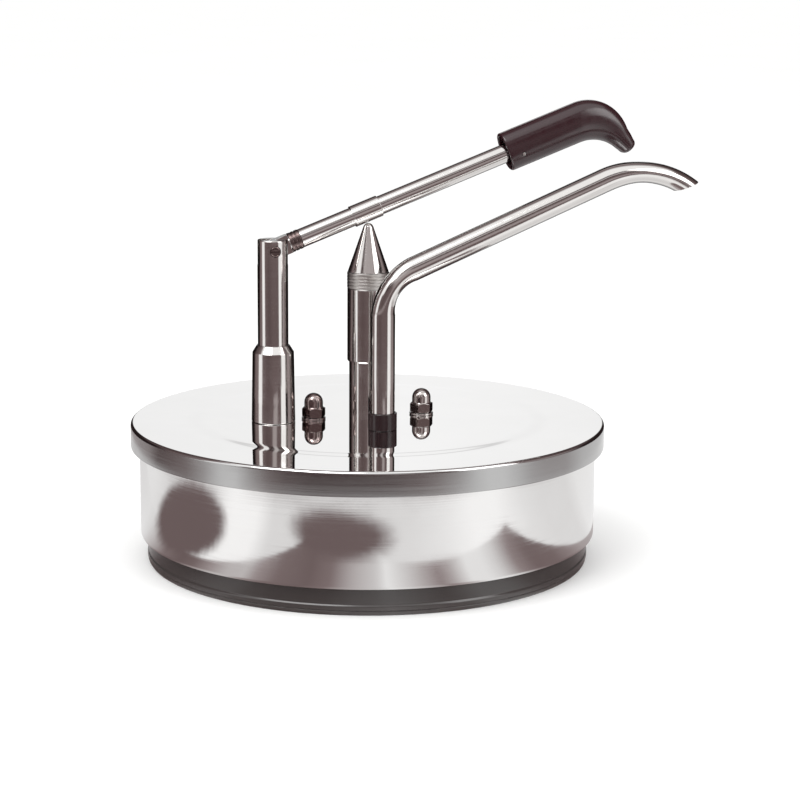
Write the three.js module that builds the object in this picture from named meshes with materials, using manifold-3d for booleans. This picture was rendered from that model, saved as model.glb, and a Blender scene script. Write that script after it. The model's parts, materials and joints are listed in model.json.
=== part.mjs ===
// Condiment pump dispenser: a low round steel pot under a lid that carries a lever-worked piston pump.
//
// Millimetres, +Z up. The origin is the centre of the pot's underside, on the surface it stands on.
// +X runs from the lever's post towards the grip and the spout's mouth; the spout rises on the -Y side.
//
// The lever presses a pointed cap. The cap's rod drives a piston down a barrel that hangs in the pot,
// which pushes sauce past the outlet ball, up the riser and out of the spout. A spring round the rod
// lifts the piston again, and the inlet ball lets the next portion in.

import * as THREE from 'three';
import { mergeVertices } from 'three/addons/utils/BufferGeometryUtils.js';
import Module from 'manifold-3d';

const wasm = await Module();
wasm.setup();

// ---------------------------------------------------------------- driving dimensions

const GAP = 0.2; // clearance between pieces that rest on each other
const FIT = 0.3; // radial clearance between nested pieces
const SHEET = 1.2; // thickness of the pot and the lid
const BREAK = 0.6; // bevel on a broken edge

// Pot and its foot
const POT_RADIUS = 144.5;
const FOOT_RADIUS = 138.3;
const FOOT_HEIGHT = 16.2;
const POT_RIM_Z = 86.9;
const RIM_RADIUS = 147.7;

// Lid
const LID_RADIUS = 150;
const LID_Z = 88.5; // top of the lid's outer zone
const SKIRT_HEIGHT = 15.1;
const DECK_RISE = 0.8; // the middle of the lid stands this much higher
const DECK_Z = LID_Z + DECK_RISE;
const STEP_INNER_RADIUS = 105;
const STEP_OUTER_RADIUS = 113;
const UNDER_DECK_Z = DECK_Z - SHEET;

// Where things stand on the lid
const BOLT_X = 35.2; // acorn nuts, either side of the pump
const SPOUT_Y = -39;
const POST_X = -61;

// Pump above the lid
const NECK_RADIUS = 11.9;
const NECK_BORE = 9.9;
const NECK_TOP_Z = 136;
const SLEEVE_RADIUS = 13.1;
const SLEEVE_BORE = 12.3;
const SLEEVE_BOTTOM_Z = 125.6;
const SLEEVE_TOP_Z = 172.1;
const RING_RADIUS = 13.3;
const RING_HEIGHT = 9.9;
const CONE_RADIUS = 12.9;
const TIP_RADIUS = 3.3;

// Lever
const PIVOT_Z = 197.5;
const REST_ANGLE = THREE.MathUtils.degToRad(21);
const LEVER_RADIUS = 6;
const WEAR_SLEEVE_RADIUS = 6.8;
const TIP_GAP = 0.5; // height left between the cap's tip and the lever's wear sleeve

// Rod and piston
const ROD_RADIUS = 4;
const STUD_RADIUS = 3;
const BARREL_RADIUS = 19;
const BARREL_BORE = 17;

// Valve body
const VALVE_Z = 6;
const VALVE_HEIGHT = 24;
const VALVE_RADIUS = 22;
const RISER_RADIUS = 11;
const RISER_TOP_Z = 44;
const BALL_RADIUS = 5;
const INLET_BORE = 4;
const OUTLET_BORE = 3.5;
const BALL_CHAMBER = 7.4;
const BALL_LIFT = 3;

// Spout
const TUBE_RADIUS = 7.5;
const TUBE_WALL = 1;
const TUBE_SQUASH = 6.5; // the tube's half height where bending has flattened it
const SPOUT_BOTTOM_Z = 36.1;
const SPOUT_RISE = THREE.MathUtils.degToRad(22.94);
const FIRST_BEND_RADIUS = 30;
const FIRST_BEND_APEX_Z = 180.7; // where the riser's and the sloping tube's centre lines would meet
const CREST_RADIUS = 58;
const CREST_X = 164.5;
const MOUTH_HIGH = new THREE.Vector2(203.4, 238.9); // the slanting cut at the mouth, as X and Z
const MOUTH_LOW = new THREE.Vector2(187.2, 233.0);

// Post
const POST_RADIUS = 9.55;
const POST_TOP_Z = 204.2;
const POST_BASE_TOP_Z = 138;

// Facets
const FINE = 40; // round the pot and the lid
const ROUND = 18; // round the small turned pieces

// ---------------------------------------------------------------- materials

function metal(color, roughness) {
  return new THREE.MeshStandardMaterial({ color, roughness, metalness: 1 });
}

function plastic(color, roughness) {
  return new THREE.MeshStandardMaterial({ color, roughness, metalness: 0 });
}

const polished = metal(0xd8d4d0, 0.12);
const satin = metal(0xa9a19c, 0.38);
const turned = metal(0xc2bbb6, 0.22);
const fastener = metal(0xb9b2ac, 0.25);
const springSteel = metal(0x8d8884, 0.4);
const darkRubber = plastic(0x454140, 0.55);
const sealRubber = plastic(0x2b2929, 0.7);
const whitePlastic = plastic(0xe4e1d8, 0.5);
const blackPlastic = plastic(0x2a2223, 0.35);
const gripPlastic = plastic(0x3a2c30, 0.3);

// ---------------------------------------------------------------- geometry helpers

// A turned piece about +Z. The profile is a list of [radius, z], anticlockwise, and it either
// starts and ends on the axis or is closed here.
function turnedShape(profile, segments = ROUND) {
  const points = profile.map(([radius, z]) => new THREE.Vector2(radius, z));
  const endsOnAxis = points[0].x < 1e-6 && points.at(-1).x < 1e-6;
  if (!endsOnAxis) points.push(points[0].clone());
  return new THREE.LatheGeometry(points, segments).rotateX(Math.PI / 2);
}

// A tube about +Z between two heights.
function pipe(inner, outer, low, high, segments = ROUND) {
  return turnedShape([[inner, low], [outer, low], [outer, high], [inner, high]], segments);
}

// A solid round bar about +Z between two heights.
function bar(radius, low, high, segments = ROUND) {
  return turnedShape([[0, low], [radius, low], [radius, high], [0, high]], segments);
}

// Points of an arc in a profile, with angles in degrees, ends included.
function arc(centreX, centreY, radius, fromDegrees, toDegrees, steps) {
  const points = [];
  for (let i = 0; i <= steps; i++) {
    const angle = THREE.MathUtils.degToRad(fromDegrees + ((toDegrees - fromDegrees) * i) / steps);
    points.push([centreX + radius * Math.cos(angle), centreY + radius * Math.sin(angle)]);
  }
  return points;
}

// A flat plate from a shape, between two heights.
function plate(shape, low, high, curveSegments = 8) {
  const settings = { depth: high - low, bevelEnabled: false, curveSegments };
  return new THREE.ExtrudeGeometry(shape, settings).translate(0, 0, low);
}

function hexagon(acrossFlats) {
  const radius = acrossFlats / Math.sqrt(3);
  const corners = [];
  for (let i = 0; i < 6; i++) {
    const angle = (i * Math.PI) / 3;
    corners.push(new THREE.Vector2(radius * Math.cos(angle), radius * Math.sin(angle)));
  }
  return new THREE.Shape(corners);
}

function roundedRectangle(left, right, low, high, radius) {
  const shape = new THREE.Shape();
  shape.absarc(right - radius, high - radius, radius, 0, Math.PI / 2);
  shape.absarc(left + radius, high - radius, radius, Math.PI / 2, Math.PI);
  shape.absarc(left + radius, low + radius, radius, Math.PI, 1.5 * Math.PI);
  shape.absarc(right - radius, low + radius, radius, 1.5 * Math.PI, 2 * Math.PI);
  return shape;
}

function addHole(shape, x, y, radius) {
  shape.holes.push(new THREE.Path().absarc(x, y, radius, 0, 2 * Math.PI, true));
}

// A skin over rows of points that each run once round the piece. Rows that close on themselves
// make a ring or a bored tube; other rows get a flat cap at each end.
function loft(rows, closes) {
  const sides = rows[0].length;
  const points = rows.flat();
  const index = [];
  const pairs = closes ? rows.length : rows.length - 1;
  for (let i = 0; i < pairs; i++) {
    const near = i * sides;
    const far = ((i + 1) % rows.length) * sides;
    for (let j = 0; j < sides; j++) {
      const next = (j + 1) % sides;
      index.push(near + j, near + next, far + next);
      index.push(near + j, far + next, far + j);
    }
  }
  if (!closes) {
    const last = (rows.length - 1) * sides;
    const middleOf = (row) => row.reduce((sum, p) => sum.add(p), new THREE.Vector3()).divideScalar(sides);
    points.push(middleOf(rows[0]), middleOf(rows.at(-1)));
    for (let j = 0; j < sides; j++) {
      const next = (j + 1) % sides;
      index.push(points.length - 2, next, j);
      index.push(points.length - 1, last + j, last + next);
    }
  }
  const geometry = new THREE.BufferGeometry().setFromPoints(points);
  geometry.setIndex(index);
  return geometry;
}

// ---------------------------------------------------------------- booleans

function toSolid(geometry) {
  const bare = geometry.clone();
  bare.deleteAttribute('normal');
  bare.deleteAttribute('uv');
  const merged = mergeVertices(bare, 1e-4);
  const all = merged.index.array;
  const kept = [];
  for (let i = 0; i < all.length; i += 3) {
    const [a, b, c] = [all[i], all[i + 1], all[i + 2]];
    if (a !== b && b !== c && c !== a) kept.push(a, b, c);
  }
  const mesh = new wasm.Mesh({
    numProp: 3,
    vertProperties: merged.attributes.position.array,
    triVerts: new Uint32Array(kept),
  });
  return new wasm.Manifold(mesh);
}

function toGeometry(body) {
  const { vertProperties, triVerts } = body.getMesh();
  const geometry = new THREE.BufferGeometry();
  geometry.setAttribute('position', new THREE.BufferAttribute(new Float32Array(vertProperties), 3));
  geometry.setIndex(new THREE.BufferAttribute(new Uint32Array(triVerts), 1));
  geometry.computeVertexNormals();
  return geometry;
}

function cut(geometry, ...tools) {
  let body = toSolid(geometry);
  for (const tool of tools) body = body.subtract(toSolid(tool));
  return toGeometry(body);
}

function join(geometry, ...others) {
  let body = toSolid(geometry);
  for (const other of others) body = body.add(toSolid(other));
  return toGeometry(body);
}

function overlapOf(geometry, other) {
  return toGeometry(toSolid(geometry).intersect(toSolid(other)));
}

// ---------------------------------------------------------------- scene

const dispenser = new THREE.Group();

function addTo(group, name, geometry, material) {
  const mesh = new THREE.Mesh(geometry, material);
  mesh.name = name;
  group.add(mesh);
  return mesh;
}

function add(name, geometry, material) {
  return addTo(dispenser, name, geometry, material);
}

// ---------------------------------------------------------------- pot

const FOOT_EDGE = 3.5; // radius under the foot
const FLOOR_CORNER = 2.8; // bevel inside it
const WALL_EDGE = 2.5; // radius where the wall turns in above the foot
const SHELF_CORNER = 1.7; // bevel inside it
const RIM_DEPTH = 3.3;
const RIM_BEVEL = 1;

function potProfile() {
  const inner = POT_RADIUS - SHEET;
  const innerFoot = FOOT_RADIUS - SHEET;
  const shelfZ = FOOT_HEIGHT + SHEET;
  const rimLowZ = POT_RIM_Z - RIM_DEPTH;
  return [
    [0, 0],
    ...arc(FOOT_RADIUS - FOOT_EDGE, FOOT_EDGE, FOOT_EDGE, -90, 0, 2),
    [FOOT_RADIUS, FOOT_HEIGHT],
    ...arc(POT_RADIUS - WALL_EDGE, FOOT_HEIGHT + WALL_EDGE, WALL_EDGE, -90, 0, 3),
    [POT_RADIUS, rimLowZ],
    [RIM_RADIUS - RIM_BEVEL, rimLowZ],
    [RIM_RADIUS, rimLowZ + RIM_DEPTH / 3],
    [RIM_RADIUS, POT_RIM_Z - RIM_BEVEL],
    [RIM_RADIUS - RIM_BEVEL, POT_RIM_Z],
    [inner + BREAK, POT_RIM_Z],
    [inner, POT_RIM_Z - BREAK],
    [inner, shelfZ + SHELF_CORNER],
    [inner - SHELF_CORNER, shelfZ],
    [innerFoot, shelfZ],
    [innerFoot, SHEET + FLOOR_CORNER],
    [innerFoot - FLOOR_CORNER, SHEET],
    [0, SHEET],
  ];
}

const BAND = 1.2; // thickness of the rubber round the foot
const LIP = 0.8; // how far its rounded lip stands out from the band
const LIP_HEIGHT = 6.2;

function baseRingProfile() {
  const inner = FOOT_RADIUS + FIT;
  const outer = inner + BAND;
  return [
    [inner, 0],
    [outer - BREAK, 0],
    [outer + 0.6 * LIP, 0.2 * LIP_HEIGHT],
    [outer + LIP, 0.55 * LIP_HEIGHT],
    [outer + 0.6 * LIP, 0.9 * LIP_HEIGHT],
    [outer, LIP_HEIGHT],
    [outer, FOOT_HEIGHT - GAP],
    [inner, FOOT_HEIGHT - GAP],
  ];
}

add('pot', turnedShape(potProfile(), FINE), polished);
add('base_ring', turnedShape(baseRingProfile(), FINE), darkRubber);

// ---------------------------------------------------------------- lid

const LID_EDGE = 2; // radius where the top turns down into the skirt

function lidProfile() {
  const inside = LID_RADIUS - SHEET;
  const underLid = LID_Z - SHEET;
  const insideCorner = LID_EDGE / 2;
  return [
    [0, UNDER_DECK_Z],
    [STEP_INNER_RADIUS, UNDER_DECK_Z],
    [STEP_OUTER_RADIUS, underLid],
    [inside - insideCorner, underLid],
    [inside, underLid - insideCorner],
    [inside, LID_Z - SKIRT_HEIGHT],
    [LID_RADIUS, LID_Z - SKIRT_HEIGHT],
    ...arc(LID_RADIUS - LID_EDGE, LID_Z - LID_EDGE, LID_EDGE, 0, 90, 3),
    [STEP_OUTER_RADIUS, LID_Z],
    [STEP_INNER_RADIUS, DECK_Z],
    [0, DECK_Z],
  ];
}

const BOLT_RADIUS = 4;
const BOLT_HOLE = BOLT_RADIUS + 0.4;
const SPOUT_HOLE = TUBE_RADIUS + 0.5;
const POST_BOLT_RADIUS = 5;
const POST_HOLE = POST_BOLT_RADIUS + 0.4;
const DRILL_LOW_Z = DECK_Z - 20; // below both plates under the lid
const DRILL_HIGH_Z = DECK_Z + 5;

// Holes through a sheet or plate at the deck, each given as x, y and radius.
function drill(geometry, holes) {
  const drills = holes.map(([x, y, radius]) => bar(radius, DRILL_LOW_Z, DRILL_HIGH_Z, 16).translate(x, y, 0));
  return cut(geometry, ...drills);
}

// The holes that the pump needs in the lid and in both plates under it.
function pumpHoles(middleRadius) {
  return [
    [0, 0, middleRadius],
    [BOLT_X, 0, BOLT_HOLE],
    [-BOLT_X, 0, BOLT_HOLE],
    [0, SPOUT_Y, SPOUT_HOLE],
  ];
}

const lidHoles = [...pumpHoles(NECK_RADIUS + 0.4), [POST_X, 0, POST_HOLE]];
add('lid', drill(turnedShape(lidProfile(), FINE), lidHoles), polished);

// ---------------------------------------------------------------- plate, gasket and fixings under the lid

const GASKET_THICKNESS = 1.7;
const GASKET_TOP_Z = UNDER_DECK_Z - GAP;
const GASKET_Z = GASKET_TOP_Z - GASKET_THICKNESS;
const FLANGE_THICKNESS = 4;
const FLANGE_TOP_Z = GASKET_Z - GAP;
const FLANGE_Z = FLANGE_TOP_Z - FLANGE_THICKNESS;
const PLATE_HALF_LENGTH = 46;
const PLATE_FRONT_Y = -51;
const PLATE_BACK_Y = 22;
const PLATE_CORNER = 12;
const GLAND_RADIUS = 8; // of the bush's lower part, in the flange

function pumpPlate(low, high, middleRadius) {
  const outline = roundedRectangle(-PLATE_HALF_LENGTH, PLATE_HALF_LENGTH, PLATE_FRONT_Y, PLATE_BACK_Y, PLATE_CORNER);
  return drill(plate(outline, low, high, 2), pumpHoles(middleRadius));
}

add('flange_gasket', pumpPlate(GASKET_Z, GASKET_TOP_Z, NECK_RADIUS + 0.6), sealRubber);
add('pump_flange', pumpPlate(FLANGE_Z, FLANGE_TOP_Z, GLAND_RADIUS + FIT), satin);

const WASHER_THICKNESS = 1.2;
const WASHER_RADIUS = 7.6;
const WASHER_TOP_Z = DECK_Z + GAP + WASHER_THICKNESS;
const NUT_Z = WASHER_TOP_Z + GAP;
const NUT_ACROSS_FLATS = 13;
const NUT_HEX_HEIGHT = 6.1;
const NUT_HEIGHT = 15.2;
const DOME_RADIUS = 5.9;
const BOLT_REACH = 9.5; // how far the bolt goes into the nut
const BOLT_HEAD_RADIUS = 6.5;
const BOLT_HEAD_HEIGHT = 3;

function acornNut() {
  const hex = plate(hexagon(NUT_ACROSS_FLATS), NUT_Z, NUT_Z + NUT_HEX_HEIGHT);
  const corner = NUT_ACROSS_FLATS / Math.sqrt(3);
  const chamfer = turnedShape([
    [0, NUT_Z - 1],
    [corner - BREAK, NUT_Z - 1],
    [corner, NUT_Z + BREAK],
    [corner, NUT_Z + NUT_HEX_HEIGHT - BREAK],
    [DOME_RADIUS + GAP, NUT_Z + NUT_HEX_HEIGHT],
    [0, NUT_Z + NUT_HEX_HEIGHT],
  ], 12);
  const dome = turnedShape([
    [0, NUT_Z + BREAK],
    [DOME_RADIUS, NUT_Z + BREAK],
    ...arc(0, NUT_Z + NUT_HEIGHT - DOME_RADIUS, DOME_RADIUS, 0, 90, 4),
  ], 16);
  const thread = bar(BOLT_RADIUS + FIT, NUT_Z - 1, NUT_Z + BOLT_REACH + 1, 16);
  return cut(join(overlapOf(hex, chamfer), dome), thread);
}

function flangeBolt() {
  const headTopZ = FLANGE_Z - GAP;
  const headZ = headTopZ - BOLT_HEAD_HEIGHT;
  return turnedShape([
    [0, headZ],
    [BOLT_HEAD_RADIUS - 1, headZ],
    [BOLT_HEAD_RADIUS, headZ + 1],
    [BOLT_HEAD_RADIUS, headTopZ],
    [BOLT_RADIUS, headTopZ],
    [BOLT_RADIUS, NUT_Z + BOLT_REACH],
    [0, NUT_Z + BOLT_REACH],
  ], 16);
}

for (const [side, x] of [['left', -BOLT_X], ['right', BOLT_X]]) {
  add(`flange_bolt_${side}`, flangeBolt(), fastener).position.x = x;
  add(`washer_${side}`, pipe(BOLT_HOLE, WASHER_RADIUS, DECK_Z + GAP, WASHER_TOP_Z), fastener).position.x = x;
  add(`acorn_nut_${side}`, acornNut(), polished).position.x = x;
}

// ---------------------------------------------------------------- neck, gland and return spring

const SLIDING_FIT = 0.1; // radial clearance of a bush or seal on what slides in it
const GLAND_COLLAR = 2; // height of the bush's wider part, in the neck
const ROD_SEAL_HEIGHT = 2.6;
const SPRING_SEAT_HEIGHT = 1.2;
const NECK_Z = FLANGE_TOP_Z + GAP;
const GLAND_TOP_Z = NECK_Z + GLAND_COLLAR;
const ROD_SEAL_Z = GLAND_TOP_Z + GAP;
const SPRING_SEAT_Z = ROD_SEAL_Z + ROD_SEAL_HEIGHT + GAP;
const SPRING_Z = SPRING_SEAT_Z + SPRING_SEAT_HEIGHT + GAP;
const GUIDE_Z = 130;
const GUIDE_HEIGHT = 4;
const GUIDE_GROOVE = 0.7; // depth of its groove in the neck

add('neck_tube', turnedShape([
  [NECK_BORE, NECK_Z],
  [NECK_RADIUS, NECK_Z],
  [NECK_RADIUS, GUIDE_Z - GAP],
  [NECK_RADIUS - GUIDE_GROOVE, GUIDE_Z - GAP],
  [NECK_RADIUS - GUIDE_GROOVE, GUIDE_Z + GUIDE_HEIGHT + GAP],
  [NECK_RADIUS, GUIDE_Z + GUIDE_HEIGHT + GAP],
  [NECK_RADIUS, NECK_TOP_Z - BREAK],
  [NECK_RADIUS - BREAK, NECK_TOP_Z],
  [NECK_BORE, NECK_TOP_Z],
]), turned);

add('guide_ring', pipe(
  NECK_RADIUS - GUIDE_GROOVE + GAP,
  SLEEVE_BORE - SLIDING_FIT,
  GUIDE_Z,
  GUIDE_Z + GUIDE_HEIGHT,
), whitePlastic);

add('gland_bush', turnedShape([
  [ROD_RADIUS + SLIDING_FIT, FLANGE_Z + GAP],
  [GLAND_RADIUS, FLANGE_Z + GAP],
  [GLAND_RADIUS, NECK_Z],
  [NECK_BORE - FIT, NECK_Z],
  [NECK_BORE - FIT, GLAND_TOP_Z],
  [ROD_RADIUS + SLIDING_FIT, GLAND_TOP_Z],
]), whitePlastic);

add('rod_seal', pipe(
  ROD_RADIUS + SLIDING_FIT,
  NECK_BORE - FIT,
  ROD_SEAL_Z,
  ROD_SEAL_Z + ROD_SEAL_HEIGHT,
), sealRubber);
add('spring_seat', pipe(
  ROD_RADIUS + FIT,
  NECK_BORE - FIT,
  SPRING_SEAT_Z,
  SPRING_SEAT_Z + SPRING_SEAT_HEIGHT,
), fastener);

const SLEEVE_WEB = 2; // thickness of the sleeve's closed top
const SPRING_TOP_Z = SLEEVE_TOP_Z - SLEEVE_WEB - GAP;
const SPRING_WIRE = 0.8;
const SPRING_COIL = 7.3;
const SPRING_TURNS = 9;

class Coil extends THREE.Curve {
  getPoint(t, target = new THREE.Vector3()) {
    const angle = 2 * Math.PI * SPRING_TURNS * t;
    const low = SPRING_Z + SPRING_WIRE;
    const high = SPRING_TOP_Z - SPRING_WIRE;
    return target.set(SPRING_COIL * Math.cos(angle), SPRING_COIL * Math.sin(angle), low + (high - low) * t);
  }
}

const wire = new THREE.Shape().absarc(0, 0, SPRING_WIRE, 0, 2 * Math.PI);
add('return_spring', new THREE.ExtrudeGeometry(wire, {
  steps: SPRING_TURNS * 10,
  curveSegments: 3,
  bevelEnabled: false,
  extrudePath: new Coil(),
}), springSteel);

// ---------------------------------------------------------------- barrel and valve body

const SEAL_THICKNESS = 1.5;
const VALVE_TOP_Z = VALVE_Z + VALVE_HEIGHT;
const BARREL_SEAT_Z = VALVE_TOP_Z - 4; // floor of the recess that the barrel screws into
const BARREL_Z = BARREL_SEAT_Z + SEAL_THICKNESS + 2 * GAP;
const INLET_SEAT_RADIUS = 9;
const INLET_SEAT_Z = VALVE_Z + 4;
const PASSAGE_RADIUS = 3.2; // from under the piston to the riser
const PASSAGE_Z = 15;
const PASSAGE_START = 5; // from the pump's axis, inside the ball's chamber
const RISER_BOTTOM_Z = 11; // of the riser's bore, below the passage
const OUTLET_SEAT_Z = 18;
const OUTLET_CHAMBER = 6.9;
const SOCKET_Z = SPOUT_BOTTOM_Z - FIT;
const RISER_SEAL_RADIUS = 9.6;
const SEAL_POCKET_Z = RISER_TOP_Z - 4;
const PIN_RADIUS = 1.2;
const PIN_HOLE = PIN_RADIUS + 0.15;
const INLET_PIN_Z = 23.4;
const OUTLET_PIN_Z = 31.7;

add('pump_cylinder', pipe(BARREL_BORE, BARREL_RADIUS, BARREL_Z, FLANGE_Z - GAP), turned);
add('cylinder_seal', pipe(
  BARREL_BORE + GAP,
  BARREL_RADIUS,
  BARREL_SEAT_Z + GAP,
  BARREL_SEAT_Z + GAP + SEAL_THICKNESS,
), sealRubber);

function valveBody() {
  // Two round ends joined by their common tangents.
  const tangent = Math.asin((VALVE_RADIUS - RISER_RADIUS) / -SPOUT_Y);
  const outline = new THREE.Shape();
  outline.absarc(0, 0, VALVE_RADIUS, -tangent, Math.PI + tangent);
  outline.absarc(0, SPOUT_Y, RISER_RADIUS, Math.PI + tangent, 2 * Math.PI - tangent);
  const block = plate(outline, VALVE_Z, VALVE_TOP_Z, 7);
  const riser = bar(RISER_RADIUS, VALVE_Z + 1, RISER_TOP_Z).translate(0, SPOUT_Y, 0);
  const passage = bar(PASSAGE_RADIUS, PASSAGE_START, -SPOUT_Y, 12).rotateX(Math.PI / 2).translate(0, 0, PASSAGE_Z);
  const pinHole = (z, reach) => bar(PIN_HOLE, -reach, reach, 10).rotateY(Math.PI / 2).translate(0, 0, z);
  const inRiser = (radius, low, high) => bar(radius, low, high, 16).translate(0, SPOUT_Y, 0);
  return cut(
    join(block, riser),
    bar(BARREL_RADIUS + FIT, BARREL_SEAT_Z, VALVE_TOP_Z + 1),
    bar(INLET_SEAT_RADIUS + FIT, VALVE_Z - 1, INLET_SEAT_Z + GAP, 16),
    bar(BALL_CHAMBER, VALVE_Z, BARREL_SEAT_Z + 1, 16),
    passage,
    inRiser(OUTLET_BORE, RISER_BOTTOM_Z, OUTLET_SEAT_Z + 1),
    inRiser(OUTLET_CHAMBER, OUTLET_SEAT_Z, SOCKET_Z + 1),
    inRiser(TUBE_RADIUS + FIT, SOCKET_Z, RISER_TOP_Z + 1),
    inRiser(RISER_SEAL_RADIUS + FIT, SEAL_POCKET_Z, RISER_TOP_Z + 1),
    pinHole(INLET_PIN_Z, VALVE_RADIUS + 1),
    pinHole(OUTLET_PIN_Z, RISER_RADIUS + 1).translate(0, SPOUT_Y, 0),
  );
}

function crossPin(length) {
  return bar(PIN_RADIUS, -length / 2, length / 2, 10).rotateY(Math.PI / 2);
}

// Height of a ball's centre when it sits on a round hole, with a hair of clearance.
function seatedHeight(seatZ, holeRadius) {
  return seatZ + Math.sqrt(BALL_RADIUS ** 2 - holeRadius ** 2) + GAP;
}

add('valve_body', valveBody(), whitePlastic);
add('inlet_seat', pipe(INLET_BORE, INLET_SEAT_RADIUS, VALVE_Z, INLET_SEAT_Z, 16), turned);
add('inlet_stop_pin', crossPin(2 * VALVE_RADIUS - 3), fastener).position.z = INLET_PIN_Z;
add('outlet_stop_pin', crossPin(2 * RISER_RADIUS - 1), fastener).position.set(0, SPOUT_Y, OUTLET_PIN_Z);
add('inlet_ball', new THREE.SphereGeometry(BALL_RADIUS, 12, 8), fastener)
  .position.z = seatedHeight(INLET_SEAT_Z, INLET_BORE);
add('outlet_ball', new THREE.SphereGeometry(BALL_RADIUS, 12, 8), fastener)
  .position.set(0, SPOUT_Y, seatedHeight(OUTLET_SEAT_Z, OUTLET_BORE));

add('riser_seal', pipe(TUBE_RADIUS + FIT, RISER_SEAL_RADIUS, SEAL_POCKET_Z + GAP, RISER_TOP_Z - GAP), sealRubber)
  .position.y = SPOUT_Y;

const RISER_NUT_ACROSS_FLATS = 24;
const RISER_NUT_HEIGHT = 8;

function riserNut() {
  const outline = hexagon(RISER_NUT_ACROSS_FLATS);
  addHole(outline, 0, 0, TUBE_RADIUS + FIT);
  const low = RISER_TOP_Z + GAP;
  return plate(outline, low, low + RISER_NUT_HEIGHT);
}

add('riser_nut', riserNut(), turned).position.y = SPOUT_Y;

// ---------------------------------------------------------------- spout

// Stations along the spout's centre line, in the plane of its bends: x, z, the tube's direction as
// an angle above +X, and its half height, which is less where bending has flattened it.
function spoutStations() {
  const quarter = Math.PI / 2;
  const turn = quarter - SPOUT_RISE;
  const bendStartZ = FIRST_BEND_APEX_Z - FIRST_BEND_RADIUS * Math.tan(turn / 2);
  const stations = [
    { x: 0, z: SPOUT_BOTTOM_Z, angle: quarter, half: TUBE_RADIUS },
  ];
  const firstSteps = 6;
  for (let i = 0; i <= firstSteps; i++) {
    const swept = (turn * i) / firstSteps;
    const flat = Math.sin((Math.PI * i) / firstSteps);
    stations.push({
      x: FIRST_BEND_RADIUS * (1 - Math.cos(swept)),
      z: bendStartZ + FIRST_BEND_RADIUS * Math.sin(swept),
      angle: quarter - swept,
      half: THREE.MathUtils.lerp(TUBE_RADIUS, TUBE_SQUASH, flat),
    });
  }
  const end = stations.at(-1);
  const crestStartX = CREST_X - CREST_RADIUS * Math.sin(SPOUT_RISE);
  const crestStartZ = end.z + (crestStartX - end.x) * Math.tan(SPOUT_RISE);
  const centreZ = crestStartZ - CREST_RADIUS * Math.cos(SPOUT_RISE);
  const lastAngle = THREE.MathUtils.degToRad(-46); // past the mouth, which the slanting cut then makes
  const crestSteps = 9;
  const flatFrom = 0.4; // share of the crest after which the tube is fully flattened
  for (let i = 0; i <= crestSteps; i++) {
    const angle = THREE.MathUtils.lerp(SPOUT_RISE, lastAngle, i / crestSteps);
    const flat = Math.min(1, i / crestSteps / flatFrom);
    stations.push({
      x: CREST_X - CREST_RADIUS * Math.sin(angle),
      z: centreZ + CREST_RADIUS * Math.cos(angle),
      angle,
      half: THREE.MathUtils.lerp(TUBE_RADIUS, TUBE_SQUASH, flat),
    });
  }
  return stations;
}

// A ring of points round one station, taken in by a wall thickness.
function spoutRing(station, wall) {
  const sides = 16;
  const ring = [];
  for (let i = 0; i < sides; i++) {
    const around = (2 * Math.PI * i) / sides;
    const out = (station.half - wall) * Math.cos(around);
    const across = (TUBE_RADIUS - wall) * Math.sin(around);
    ring.push(new THREE.Vector3(
      station.x + out * Math.sin(station.angle),
      across,
      station.z - out * Math.cos(station.angle),
    ));
  }
  return ring;
}

function spoutTube() {
  const stations = spoutStations();
  const outside = stations.map((station) => spoutRing(station, 0));
  const inside = stations.map((station) => spoutRing(station, TUBE_WALL)).reverse();
  const slope = Math.atan2(MOUTH_HIGH.y - MOUTH_LOW.y, MOUTH_HIGH.x - MOUTH_LOW.x);
  const depth = 4 * TUBE_RADIUS;
  const below = new THREE.BoxGeometry(2 * depth, depth, depth).translate(0, 0, -depth / 2).rotateY(-slope);
  below.translate(MOUTH_LOW.x, 0, MOUTH_LOW.y);
  return cut(loft([...outside, ...inside], true), below);
}

add('spout_tube', spoutTube(), turned).position.y = SPOUT_Y;

const COLLAR_RADIUS = 8.9;
const COLLAR_TOP_Z = DECK_Z + 10.6;

add('spout_collar', turnedShape([
  [TUBE_RADIUS + FIT, DECK_Z + GAP],
  [COLLAR_RADIUS, DECK_Z + GAP],
  [COLLAR_RADIUS, COLLAR_TOP_Z - BREAK],
  [COLLAR_RADIUS - BREAK, COLLAR_TOP_Z],
  [TUBE_RADIUS + FIT, COLLAR_TOP_Z],
]), blackPlastic).position.y = SPOUT_Y;

// ---------------------------------------------------------------- post

const POST_FOOT_Z = DECK_Z + GAP;
const POST_FLOOR_Z = POST_FOOT_Z + 3;
const BASE_FOOT_RADIUS = 13.8;
const BASE_TOP_RADIUS = 13; // where its slanting top starts
const BASE_SLANT = 4.5;
const POST_GASKET_RADIUS = 12;
const POST_WASHER_RADIUS = 11;
const POST_WASHER_THICKNESS = 1.8;
const POST_GASKET_Z = UNDER_DECK_Z - GAP - SEAL_THICKNESS;
const POST_WASHER_Z = POST_GASKET_Z - GAP - POST_WASHER_THICKNESS;
const POST_BOLT_ACROSS_FLATS = 17;
const POST_BOLT_HEAD = 6.4;
const POST_BOLT_REACH = 18; // into the post
const SLOT_WIDTH = 7;
const SLOT_DEPTH = 9; // below the pivot
const SCREW_RADIUS = 2.5;
const SCREW_HEAD_RADIUS = 3.2;
const SCREW_HEAD_IN = 7.5; // from the post's middle to the head's two faces
const SCREW_HEAD_OUT = 9.3;
const SCREW_SLOT = 0.8; // depth of the driver's slot, and most of its width

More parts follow.
